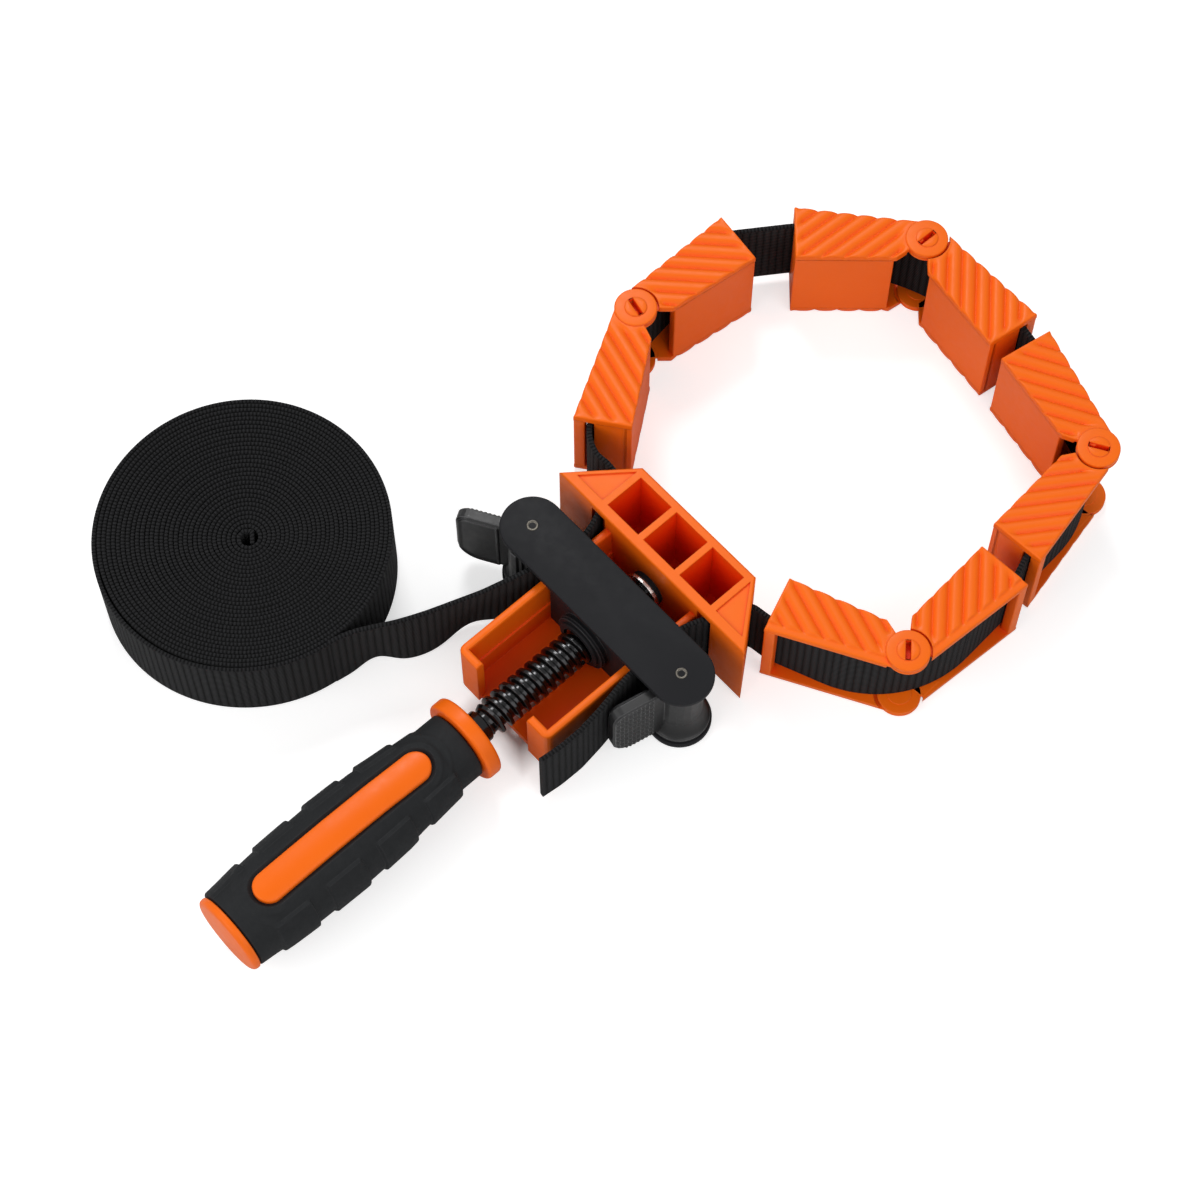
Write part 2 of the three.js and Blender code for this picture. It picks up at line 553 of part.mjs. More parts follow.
// A body about the screw axis whose radius depends on y and on the direction around.
function radialBody(stations, sides, radiusAt) {
  const points = [0, stations[0], MID_Z];
  stations.forEach((y) => {
    for (let k = 0; k < sides; k += 1) {
      const a = 2 * Math.PI * k / sides;
      const r = radiusAt(y, a, k);
      points.push(r * Math.cos(a), y, MID_Z + r * Math.sin(a));
    }
  });
  points.push(0, stations[stations.length - 1], MID_Z);
  const last = points.length / 3 - 1;
  const index = [];
  for (let k = 0; k < sides; k += 1) {
    const next = (k + 1) % sides;
    index.push(0, 1 + k, 1 + next);
    for (let i = 0; i < stations.length - 1; i += 1) {
      const [a, b] = [1 + i * sides + k, 1 + i * sides + next];
      index.push(a, a + sides, b + sides, a, b + sides, b);
    }
    index.push(last, last - sides + next, last - sides + k);
  }
  const geometry = new THREE.BufferGeometry();
  geometry.setAttribute('position', new THREE.Float32BufferAttribute(points, 3));
  geometry.setIndex(index);
  return geometry;
}

function screw() {
  const threadFront = SHOULDER_Y - SHOULDER_LENGTH;
  const threadRear = HANDLE_FRONT_Y + NECK_LENGTH;
  const rings = Math.round((threadFront - threadRear) / SCREW_PITCH * THREAD_RINGS);
  const stations = Array.from({ length: rings + 1 }, (_, i) => lerp(threadRear, threadFront, i / rings));
  const middle = (SCREW_CREST + SCREW_ROOT) / 2;
  const half = (SCREW_CREST - SCREW_ROOT) / 2;
  const thread = radialBody(stations, THREAD_SIDES, (y, a) => {
    const wave = Math.cos(2 * Math.PI * (y - threadRear) / SCREW_PITCH + a);
    const fade = Math.min(1, (threadFront - y) / SCREW_PITCH, (y - threadRear) / SCREW_PITCH);
    return middle - half + half * fade * (1 + THREE.MathUtils.clamp(1.6 * wave, -1, 1));
  });
  const neck = rodY(NECK_RADIUS, HANDLE_FRONT_Y - HANDLE_BORE_DEPTH + GAP, threadRear + JOIN_OVER);
  const shoulder = rodY(SHOULDER_RADIUS, threadFront - JOIN_OVER, SHOULDER_Y);
  const journal = rodY(JOURNAL_RADIUS, SHOULDER_Y - JOIN_OVER, BACK_Y + BACK_WALL + JOURNAL_PAST_WALL);
  const groove = solid(rodY(CLIP_RADIUS, CLIP_Y - GAP / 2, CLIP_Y + CLIP_THICK + GAP / 2))
    .subtract(solid(rodY(JOURNAL_RADIUS - CLIP_GROOVE, CLIP_Y - CUT_OVER, CLIP_Y + CLIP_THICK + CUT_OVER)));
  const body = join([solid(thread), solid(neck), solid(shoulder), solid(journal)]);
  return meshOf('screw', body.subtract(groove), DARK_STEEL);
}

// A flat ring on the screw axis.
function ring(name, outer, inner, y0, y1, material, mouth = 0) {
  const tools = [solid(rodY(inner, y0 - CUT_OVER, y1 + CUT_OVER))];
  if (mouth > 0) {
    tools.push(solid(box([-mouth / 2, mouth / 2], [y0 - CUT_OVER, y1 + CUT_OVER], [MID_Z, MID_Z + outer + CUT_OVER])));
  }
  return meshOf(name, cut(solid(rodY(outer, y0, y1)), tools), material);
}

// Radius of the grip's body at a y, from its profile shares.
function gripRadius(y) {
  const share = THREE.MathUtils.clamp((GRIP_FRONT_Y - y) / GRIP_LENGTH, 0, 1);
  const table = GRIP_PROFILE_SHARES;
  const i = Math.max(1, table.findIndex(([at]) => at >= share));
  const [a, b] = [table[i - 1], table[i]];
  return GRIP_RADIUS * lerp(a[1], b[1], (share - a[0]) / (b[0] - a[0]));
}

// Plan stadium of the inlay windows, grown by a margin.
function inlayOutline(margin) {
  const front = [0, GRIP_FRONT_Y - INLAY_FRONT];
  const rear = [0, GRIP_REAR_Y + INLAY_BACK];
  return stadium(front, rear, INLAY_HALF + margin, 8);
}

// Middles of the raised blocks on the right side (1) or, staggered, on the left (-1).
function blockMiddles(side) {
  const first = GRIP_FRONT_Y - GRIP_BLOCK_FRONT - (side > 0 ? 0 : GRIP_BLOCK_STAGGER);
  return Array.from({ length: GRIP_BLOCKS }, (_, i) => first - i * GRIP_BLOCK_PITCH);
}

function gripStations() {
  const marks = GRIP_PROFILE_SHARES.map(([at]) => GRIP_FRONT_Y - at * GRIP_LENGTH);
  for (const middle of [...blockMiddles(1), ...blockMiddles(-1)]) {
    for (const end of [-1, 1]) {
      marks.push(middle + end * GRIP_BLOCK_LENGTH / 2, middle + end * (GRIP_BLOCK_LENGTH / 2 - GRIP_BLOCK_EDGE));
    }
  }
  const sorted = marks.filter((y) => y >= GRIP_REAR_Y).sort((a, b) => a - b);
  return sorted.filter((y, i) => i === 0 || y - sorted[i - 1] > GRIP_BLOCK_EDGE / 4);
}

// Directions around the grip at which its mesh has edges: close at the blocks' sides, wide between them.
function gripAngles() {
  const angles = [];
  const blockTurns = [-1, -0.5, 0, 0.5, 1];
  const plainShares = [0.3, 0.5, 0.7];
  for (const middle of [0, 180]) {
    for (const turn of blockTurns) angles.push(middle + turn * GRIP_BLOCK_HALF_ANGLE);
    for (const side of [-1, 1]) angles.push(middle + side * (GRIP_BLOCK_HALF_ANGLE + GRIP_EDGE_ANGLE));
    for (const share of plainShares) {
      angles.push(middle + lerp(GRIP_BLOCK_HALF_ANGLE, 180 - GRIP_BLOCK_HALF_ANGLE, share));
    }
  }
  return angles.sort((a, b) => a - b);
}

function handleGrip() {
  const marks = gripStations();
  const angles = gripAngles();
  const blocks = { 1: blockMiddles(1), [-1]: blockMiddles(-1) };
  const raised = (y, degrees) => {
    const side = Math.sign(Math.cos(rad(degrees)));
    const around = THREE.MathUtils.radToDeg(Math.asin(Math.abs(Math.sin(rad(degrees)))));
    if (around > GRIP_BLOCK_HALF_ANGLE + GRIP_EDGE_ANGLE / 2) return 0;
    const inside = (middle) => Math.abs(y - middle) < GRIP_BLOCK_LENGTH / 2 - GRIP_BLOCK_EDGE / 2;
    return blocks[side].some(inside) ? GRIP_BLOCK_HEIGHT : 0;
  };
  const points = [0, marks[0], MID_Z];
  marks.forEach((y) => angles.forEach((degrees) => {
    const r = gripRadius(y) + raised(y, degrees);
    points.push(r * Math.cos(rad(degrees)), y, MID_Z + r * Math.sin(rad(degrees)));
  }));
  points.push(0, marks[marks.length - 1], MID_Z);
  const sides = angles.length;
  const last = points.length / 3 - 1;
  const index = [];
  for (let k = 0; k < sides; k += 1) {
    const next = (k + 1) % sides;
    index.push(0, 1 + k, 1 + next, last, last - sides + next, last - sides + k);
    for (let i = 0; i < marks.length - 1; i += 1) {
      const [a, b] = [1 + i * sides + k, 1 + i * sides + next];
      index.push(a, a + sides, b + sides, a, b + sides, b);
    }
  }
  const geometry = new THREE.BufferGeometry();
  geometry.setAttribute('position', new THREE.Float32BufferAttribute(points, 3));
  geometry.setIndex(index);
  const bore = solid(rodY(CORE_RADIUS + GAP, GRIP_REAR_Y - CUT_OVER, GRIP_FRONT_Y + CUT_OVER, 28));
  const window = solid(prism(inlayOutline(INLAY_GROOVE), MID_Z - 2 * GRIP_RADIUS, MID_Z + 2 * GRIP_RADIUS));
  return meshOf('handle_grip', cut(solid(geometry), [bore, window]), RUBBER);
}

function handleCore() {
  const rear = HANDLE_FRONT_Y - HANDLE_COLLAR_LENGTH;
  const round = HANDLE_COLLAR_ROUND;
  const flat = HANDLE_COLLAR_RADIUS;
  const collar = turned([
    [0, HANDLE_FRONT_Y], [flat - round, HANDLE_FRONT_Y], [flat - round * ROUND_SHARE, HANDLE_FRONT_Y - round * ROUND_SHARE],
    [flat, HANDLE_FRONT_Y - round], [flat, rear + round], [flat - round * ROUND_SHARE, rear + round * ROUND_SHARE],
    [flat - round, rear], [0, rear],
  ]);
  const rod = rodY(CORE_RADIUS, GRIP_REAR_Y, rear + JOIN_OVER, 28);
  const skin = turned([
    [0, GRIP_FRONT_Y],
    ...GRIP_PROFILE_SHARES.map(([at, r]) => [GRIP_RADIUS * r + INLAY_PROUD, GRIP_FRONT_Y - at * GRIP_LENGTH]),
    [0, GRIP_REAR_Y],
  ]);
  const inlay = solid(prism(inlayOutline(0), MID_Z - 2 * GRIP_RADIUS, MID_Z + 2 * GRIP_RADIUS));
  const bore = solid(rodY(NECK_RADIUS + GAP, HANDLE_FRONT_Y - HANDLE_BORE_DEPTH, HANDLE_FRONT_Y + CUT_OVER));
  const body = join([solid(collar), solid(rod), inlay.intersect(solid(skin))]);
  return meshOf('handle_core', body.subtract(bore), ORANGE);
}

function handleCap() {
  const front = GRIP_REAR_Y - GAP;
  const rear = front - CAP_LENGTH;
  const edge = arc([CAP_RADIUS - CAP_ROUND, rear + CAP_ROUND], CAP_ROUND, 0, -90, 4);
  return meshOf('handle_cap', solid(turned([[0, front], [CAP_RADIUS, front], ...edge, [0, rear]])), ORANGE);
}

// A slab with diagonal waves on its top and bottom, crests at the jaw's full height, in the arm's frame.
function waveSlab(sense) {
  const reach = ARM_LENGTH + 2 * KNUCKLE_RADIUS;
  const count = Math.ceil(reach / RIB_PITCH);
  const top = [];
  for (let i = -count * RIB_STEPS; i <= count * RIB_STEPS; i += 1) {
    const drop = RIB_DEPTH * (1 - Math.cos(2 * Math.PI * i / RIB_STEPS)) / 2;
    top.push([RIB_PITCH * i / RIB_STEPS, drop]);
  }
  const section = [...top, ...top.map(([u, drop]) => [u, JAW_HEIGHT - drop]).reverse()];
  const geometry = prism(section, -reach, reach);
  const across = new THREE.Vector3(Math.sin(rad(RIB_ANGLE)), sense * Math.cos(rad(RIB_ANGLE)), 0);
  const up = new THREE.Vector3(0, 0, 1);
  geometry.applyMatrix4(new THREE.Matrix4().makeBasis(across, up, new THREE.Vector3().crossVectors(across, up)));
  return solid(geometry);
}

// One hinged arm: two plates over the strap with an inner wall and an end wall. At the hinge the plates are
// halved: the a arm keeps the outer laps with a split stud in each, the b arm the inner laps with their holes.
// sense tells whether outward is to the left (1) or to the right (-1) of the arm's heading. The corner jaw
// that lies the other way up has a plain border along its outer edge.
function hingedArm(outer, sense, flipped) {
  const side = (points) => (sense > 0 ? points : points.map(([x, y]) => [x, -y]).reverse());
  const nearOuter = [0, KNUCKLE_RADIUS * OUTER_EDGE_SHARE];
  const edgeSlope = (ARM_OUTER - nearOuter[1]) / ARM_LENGTH;
  const outline = side([[ARM_LENGTH, -ARM_INNER], [ARM_LENGTH, ARM_OUTER], nearOuter, [0, 0], [ARM_NEAR, -ARM_INNER]]);
  const farX = ARM_LENGTH + CUT_OVER;
  let slab = waveSlab(sense);
  if (flipped) {
    const borderAt = (x) => nearOuter[1] + edgeSlope * x - BORDER_WIDTH;
    slab = slab.add(solid(prism(side([
      [-CUT_OVER, borderAt(-CUT_OVER)], [farX, borderAt(farX)],
      [farX, ARM_OUTER + BORDER_WIDTH], [-CUT_OVER, ARM_OUTER + BORDER_WIDTH],
    ]), BORDER_DROP, JAW_HEIGHT - BORDER_DROP)));
  }
  const plates = slab.intersect(solid(prism(outline, -CUT_OVER, JAW_HEIGHT + CUT_OVER)));
  const round = (radius, low, high, sides = 24) => solid(rodZ(radius, 0, 0, low, high, sides));
  const halving = KNUCKLE_RADIUS + KNUCKLE_CLEAR;
  const knuckleTop = JAW_HEIGHT + KNUCKLE_PROUD;
  const knuckleHigh = outer ? knuckleTop : LAP_HIGH + JOIN_OVER;
  const knuckleLow = outer ? KNUCKLE_FOOT : LAP_LOW - JOIN_OVER;
  let body = plates.add(round(KNUCKLE_RADIUS, knuckleLow, knuckleHigh));
  body = outer ? body.subtract(round(halving, LAP_LOW - GAP, LAP_HIGH + GAP))
    : cut(body, [round(halving, LAP_HIGH, knuckleTop + CUT_OVER), round(halving, -CUT_OVER, LAP_LOW)]);
  if (outer) {
    const lowStud = round(STUD_RADIUS, KNUCKLE_FOOT + GAP, LOW_PLATE_HIGH + CUT_OVER, 20);
    const highStud = round(STUD_RADIUS, STRAP_HIGH - CUT_OVER, knuckleTop - GAP, 20);
    const face = round(STUD_FACE_RADIUS, LAP_HIGH + GAP + JOIN_OVER, knuckleTop + STUD_FACE_PROUD, 20);
    body = join([body, lowStud, highStud, face]);
  }
  const wallNear = ARM_NEAR + WALL_SETBACK;
  const reach = 2 * ARM_OUTER;
  const hollow = solid(prism(side([
    [-reach, -reach], [wallNear, -reach], [wallNear, -ARM_INNER + ARM_INNER_WALL],
    [ARM_LENGTH - ARM_END_WALL, -ARM_INNER + ARM_INNER_WALL], [ARM_LENGTH - ARM_END_WALL, reach], [-reach, reach],
  ]), LOW_PLATE_HIGH, STRAP_HIGH + GAP));
  const half = STRAP_THICK / 2 + SLOT_ROOM;
  const slotNear = ARM_LENGTH - ARM_END_WALL - CUT_OVER;
  const slot = solid(prism(side([
    [slotNear, ARM_SLOT - half], [farX, ARM_SLOT - half], [farX, ARM_SLOT + half], [slotNear, ARM_SLOT + half],
  ]), LOW_PLATE_HIGH + KNUCKLE_FOOT, STRAP_HIGH + GAP - KNUCKLE_FOOT));
  if (!outer) return cut(body, [hollow, slot, round(STUD_RADIUS + GAP, -CUT_OVER, JAW_HEIGHT + CUT_OVER, 20)]);
  const studSlot = box([-STUD_SLOT_LENGTH / 2, STUD_SLOT_LENGTH / 2], [-STUD_SLOT_WIDTH / 2, STUD_SLOT_WIDTH / 2],
    [-CUT_OVER, knuckleTop + CUT_OVER]);
  studSlot.rotateZ(rad(flipped ? FLIPPED_SLOT_TURN : STUD_SLOT_TURN));
  return cut(body, [hollow, slot, solid(studSlot)]);
}

// Which side of its heading an arm's outward side is on: 1 is left. Walked clockwise, pin 4 has its b arm first.
function outwardSense(name) {
  return name.endsWith('a') === name.startsWith('4') ? 1 : -1;
}

// How far an arm is turned with its chain: the left chain opens to the left, the right one to the right.
const spreadOf = (name, spread) => (Number(name[0]) <= 2 ? spread : -spread);

// An arm's local point in the plan of the whole clamp, at a spread of the two chains of jaws.
function armPointAt(pin, name, [x, y], spread) {
  const heading = ARM_HEADINGS[name] + spreadOf(name, spread);
  return polar(polar(pin, x, heading), y, heading + 90 * outwardSense(name));
}

// The jaws' places when both chains are turned about their guides by a spread.
function layoutAt(spread) {
  const slotOf = (pin, name) => armPointAt(pin, name, [ARM_LENGTH, ARM_SLOT], spread);
  const pinOf = (slot, name) => {
    const offset = slotOf([0, 0], name);
    return [slot[0] - offset[0], slot[1] - offset[1]];
  };
  const slots = {};
  const pins = {};
  slots['1a'] = polar(LEFT_EXIT, FIRST_FREE_LENGTH, FIRST_FREE_ANGLE + spread);
  pins[1] = pinOf(slots['1a'], '1a');
  slots['1b'] = slotOf(pins[1], '1b');
  slots['2a'] = polar(slots['1b'], SECOND_FREE_LENGTH, SECOND_FREE_ANGLE + spread);
  pins[2] = pinOf(slots['2a'], '2a');
  slots['2b'] = slotOf(pins[2], '2b');
  slots['4a'] = polar(GUIDE_EXIT, FIFTH_FREE_LENGTH, FIFTH_FREE_ANGLE - spread);
  pins[4] = pinOf(slots['4a'], '4a');
  slots['4b'] = slotOf(pins[4], '4b');
  slots['3b'] = polar(slots['4b'], FOURTH_FREE_LENGTH, FOURTH_FREE_ANGLE - spread);
  pins[3] = pinOf(slots['3b'], '3b');
  slots['3a'] = slotOf(pins[3], '3a');
  return { slots, pins, free: slots['3a'][0] - slots['2b'][0] };
}

// The spread at which the last free length of strap, between the two chains, comes out as stated.
function loopSpread() {
  let [low, high] = [-LARGEST_SPREAD, LARGEST_SPREAD];
  for (let i = 0; i < SPREAD_STEPS; i += 1) {
    const middle = (low + high) / 2;
    [low, high] = layoutAt(middle).free < THIRD_FREE_LENGTH ? [middle, high] : [low, middle];
  }
  return (low + high) / 2;
}

const LEFT_EXIT = [-GUIDE_EXIT[0], GUIDE_EXIT[1]];
const SPREAD = loopSpread();
const { slots: SLOTS, pins: PINS } = layoutAt(SPREAD);
const armPoint = (pin, name, point) => armPointAt(pin, name, point, SPREAD);

// The strap inside an arm, at x along it: on a wide arc around the corner, which leaves the line through the
// end wall's slot and passes the hinge's axis on its inner side.
function strapPoint(name, x) {
  const number = name[0];
  const apart = rad(ARM_HEADINGS[`${number}a`] - ARM_HEADINGS[`${number}b`]);
  const lean = Math.sqrt((1 - Math.cos(apart)) / 2);
  const centre = (ARM_SLOT + STRAP_INSIDE) / (1 - lean);
  const radius = ARM_SLOT + centre * lean;
  const off = Math.max(0, centre * Math.sqrt(1 - lean ** 2) - x);
  return armPoint(PINS[number], name, [x, ARM_SLOT - radius + Math.sqrt(radius ** 2 - off ** 2)]);
}
const armMid = (name) => strapPoint(name, ARM_LENGTH * STRAP_BEND_SHARES[0]);

// The strap around one hinge, from the middle of one arm to the middle of the other.
function bendRoute(from, to) {
  const run = (name) => STRAP_BEND_SHARES.map((share) => strapPoint(name, ARM_LENGTH * share));
  return [...run(from), ...run(to).reverse()];
}

// The spare strap: one unbroken band wound inward, clockwise from above.
function coilRoute() {
  const count = COIL_LOOPS * COIL_STEPS;
  return Array.from({ length: count + 1 }, (_, i) => {
    const centre = between(COIL_CENTRE, COIL_CORE, i / count);
    const radius = COIL_RADIUS - COIL_THICK / 2 - COIL_PITCH * i / COIL_STEPS;
    return polar(centre, radius, COIL_START_ANGLE - 360 * i / COIL_STEPS);
  });
}

// Least clear distance between turns of the coil, from its points to the chords one turn further in.
function coilGap(route) {
  let least = Infinity;
  for (let i = 0; i + COIL_STEPS + 1 < route.length; i += 1) {
    for (const k of [-1, 0]) {
      const [a, b] = [route[i + COIL_STEPS + k], route[i + COIL_STEPS + k + 1]];
      const length = Math.hypot(b[0] - a[0], b[1] - a[1]);
      const off = Math.abs((route[i][0] - a[0]) * (b[1] - a[1]) - (route[i][1] - a[1]) * (b[0] - a[0])) / length;
      least = Math.min(least, off);
    }
    const [c, d] = [route[i], route[i + 1]];
    const length = Math.hypot(d[0] - c[0], d[1] - c[1]);
    const p = route[i + COIL_STEPS];
    least = Math.min(least, Math.abs((p[0] - c[0]) * (d[1] - c[1]) - (p[1] - c[1]) * (d[0] - c[0])) / length);
  }
  return least - COIL_THICK;
}

function strapTail(coilStart) {
  const route = [...TAIL_ROUTE, coilStart];
  const drop = route.map(([, y]) => THREE.MathUtils.clamp((TAIL_DROP_FROM - y) / (TAIL_DROP_FROM - TAIL_DROP_TO), 0, 1));
  const inside = mirrored([GUIDE_MID, GUIDE_INNER, GUIDE_BACK, [STRAP_SIDE, GUIDE_ENTRY[1]]]);
  const whole = trimmed([...inside, ...route], GAP / 2);
  const dropAt = [...inside.map(() => 0), ...drop];
  const last = whole.length - 1;
  const thick = (i) => (i === last ? COIL_THICK : STRAP_THICK);
  const body = band(whole, (i) => STRAP_LOW * (1 - dropAt[i]), (i) => STRAP_HIGH - STRAP_LOW * dropAt[i], thick);
  return meshOf('strap_tail', solid(body), WEBBING);
}

function build() {
  const clamp = new THREE.Group();
  clamp.name = 'band_clamp';
  const fixed = new THREE.Group();
  fixed.add(fixedJawFrame());
  fixed.add(ring('thrust_collar', COLLAR_RADIUS, JOURNAL_RADIUS + GAP, COLLAR_Y - COLLAR_THICK, COLLAR_Y, BLACK));
  fixed.add(ring('thrust_washer', WASHER_RADIUS, JOURNAL_RADIUS + GAP, WASHER_Y - WASHER_THICK, WASHER_Y, STEEL));

  const carriage = new THREE.Group();
  const keyHalf = KEY_SLOT_HALF - CAM_CLEAR;
  carriage.add(carriagePlate('carriage_top_plate', TOP_PLATE_LOW, TOP_PLATE_HIGH,
    TOP_PLATE_LOW - CUT_OVER, TOP_PLATE_LOW + KEY_DEPTH, keyHalf));
  carriage.add(carriagePlate('carriage_bottom_plate', LOW_PLATE_LOW, LOW_PLATE_HIGH,
    LOW_PLATE_HIGH - KEY_DEPTH, LOW_PLATE_HIGH + CUT_OVER, keyHalf));
  carriage.add(nutBlock());
  carriage.add(rivet('left_rivet', -PIVOT_X), rivet('right_rivet', PIVOT_X));
  carriage.add(camLever('right_cam_lever', 1, 0), camLever('left_cam_lever', -1, -LEFT_OPEN_TURN));

  const handle = new THREE.Group();
  handle.add(screw());
  handle.add(ring('retaining_clip', CLIP_RADIUS, JOURNAL_RADIUS - CLIP_GROOVE + GAP, CLIP_Y, CLIP_Y + CLIP_THICK, STEEL, CLIP_MOUTH));
  handle.add(handleCore(), handleGrip(), handleCap());

  const jaws = new THREE.Group();
  for (const name of Object.keys(ARM_HEADINGS)) {
    const mesh = meshOf(`jaw_${name}`, hingedArm(name.endsWith('a'), outwardSense(name), name.startsWith('4')), ORANGE);
    mesh.position.set(...PINS[name[0]], 0);
    mesh.rotation.z = rad(ARM_HEADINGS[name] + spreadOf(name, SPREAD));
    jaws.add(mesh);
  }

  const strap = new THREE.Group();
  const coil = coilRoute();
  strap.add(meshOf('strap_coil', solid(band(trimmed(coil, GAP / 2), () => 0, () => STRAP_WIDTH, () => COIL_THICK)), WEBBING));
  strap.add(strapTail(coil[0]));
  strap.add(strapPiece('strap_end', END_ROUTE));
  strap.add(strapPiece('strap_run_right', [END_ROUTE[0], GUIDE_ENTRY, GUIDE_BACK, GUIDE_INNER, GUIDE_MID]));
  const [leftMid] = mirrored([GUIDE_MID]);
  strap.add(strapPiece('strap_gap_1', [leftMid, LEFT_EXIT, SLOTS['1a'], armMid('1a')]));
  strap.add(strapPiece('strap_bend_1', bendRoute('1a', '1b')));
  strap.add(strapPiece('strap_gap_2', [armMid('1b'), SLOTS['1b'], SLOTS['2a'], armMid('2a')]));
  strap.add(strapPiece('strap_bend_2', bendRoute('2a', '2b')));
  strap.add(strapPiece('strap_gap_3', [armMid('2b'), SLOTS['2b'], SLOTS['3a'], armMid('3a')]));
  strap.add(strapPiece('strap_bend_3', bendRoute('3a', '3b')));
  strap.add(strapPiece('strap_gap_4', [armMid('3b'), SLOTS['3b'], SLOTS['4b'], armMid('4b')]));
  strap.add(strapPiece('strap_bend_4', bendRoute('4b', '4a')));
  strap.add(strapPiece('strap_gap_5', [armMid('4a'), SLOTS['4a'], GUIDE_EXIT, GUIDE_MID]));
  console.log(`coil: ${COIL_LOOPS} loops, least gap to itself ${coilGap(coil).toFixed(3)} mm`);

  clamp.add(fixed, carriage, handle, jaws, strap);
  return clamp;
}

export default build();
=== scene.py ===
"""Screw-tightened band clamp with hinged corner jaws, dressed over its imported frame.

Lengths in the classes are millimetres and turn into metres when a mesh is made. The loop of jaws lies
towards +Y, the handle towards -Y, and the table is z = 0.
"""
from __future__ import annotations

import json
import logging
import math
from dataclasses import dataclass
from enum import Enum
from typing import Sequence

import bmesh
import bpy
import numpy as np
from mathutils import Matrix, Vector

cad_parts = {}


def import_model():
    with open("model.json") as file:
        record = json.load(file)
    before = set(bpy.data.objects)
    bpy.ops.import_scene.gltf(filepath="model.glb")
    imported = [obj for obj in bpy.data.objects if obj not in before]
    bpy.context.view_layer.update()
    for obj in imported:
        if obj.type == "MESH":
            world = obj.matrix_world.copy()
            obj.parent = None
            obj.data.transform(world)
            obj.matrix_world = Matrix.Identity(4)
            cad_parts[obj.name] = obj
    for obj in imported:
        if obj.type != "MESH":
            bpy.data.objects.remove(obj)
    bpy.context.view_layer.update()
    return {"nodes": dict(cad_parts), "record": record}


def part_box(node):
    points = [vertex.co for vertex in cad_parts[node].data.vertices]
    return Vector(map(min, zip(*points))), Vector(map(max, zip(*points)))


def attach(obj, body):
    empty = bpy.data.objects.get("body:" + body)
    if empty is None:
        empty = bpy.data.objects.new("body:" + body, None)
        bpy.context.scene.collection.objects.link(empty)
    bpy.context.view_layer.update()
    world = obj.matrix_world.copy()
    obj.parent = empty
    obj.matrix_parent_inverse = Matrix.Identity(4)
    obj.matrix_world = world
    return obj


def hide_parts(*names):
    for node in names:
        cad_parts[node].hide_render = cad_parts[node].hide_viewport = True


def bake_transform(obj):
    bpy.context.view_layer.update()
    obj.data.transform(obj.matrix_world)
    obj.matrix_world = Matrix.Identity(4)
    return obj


MM = 0.001
AXIS_Z = 15.0
STRAP_WIDTH = 25.0
STRAP_LOW = 2.5
STRAP_HIGH = 27.5
STRAP_THICK = 1.4
TINY = 0.01  # the radius at a turned body's ends, and the width of a lip beside a hole
FLIP = np.array([-1.0, 1.0])
Route = Sequence[Sequence[float]]
Edge = np.ndarray | float
Colour = tuple[float, float, float]
log = logging.getLogger("band_clamp")


class ArmKind(Enum):
    """Which lugs an arm has about its pin."""

    OUTER = "outer"
    INNER = "inner"


# ---- geometry in numpy -------------------------------------------------------------------------


def show(name: str, data: bpy.types.ID) -> bpy.types.Object:
    """Puts an object of the data into the scene."""
    obj = bpy.data.objects.new(name, data)
    bpy.context.scene.collection.objects.link(obj)
    return obj


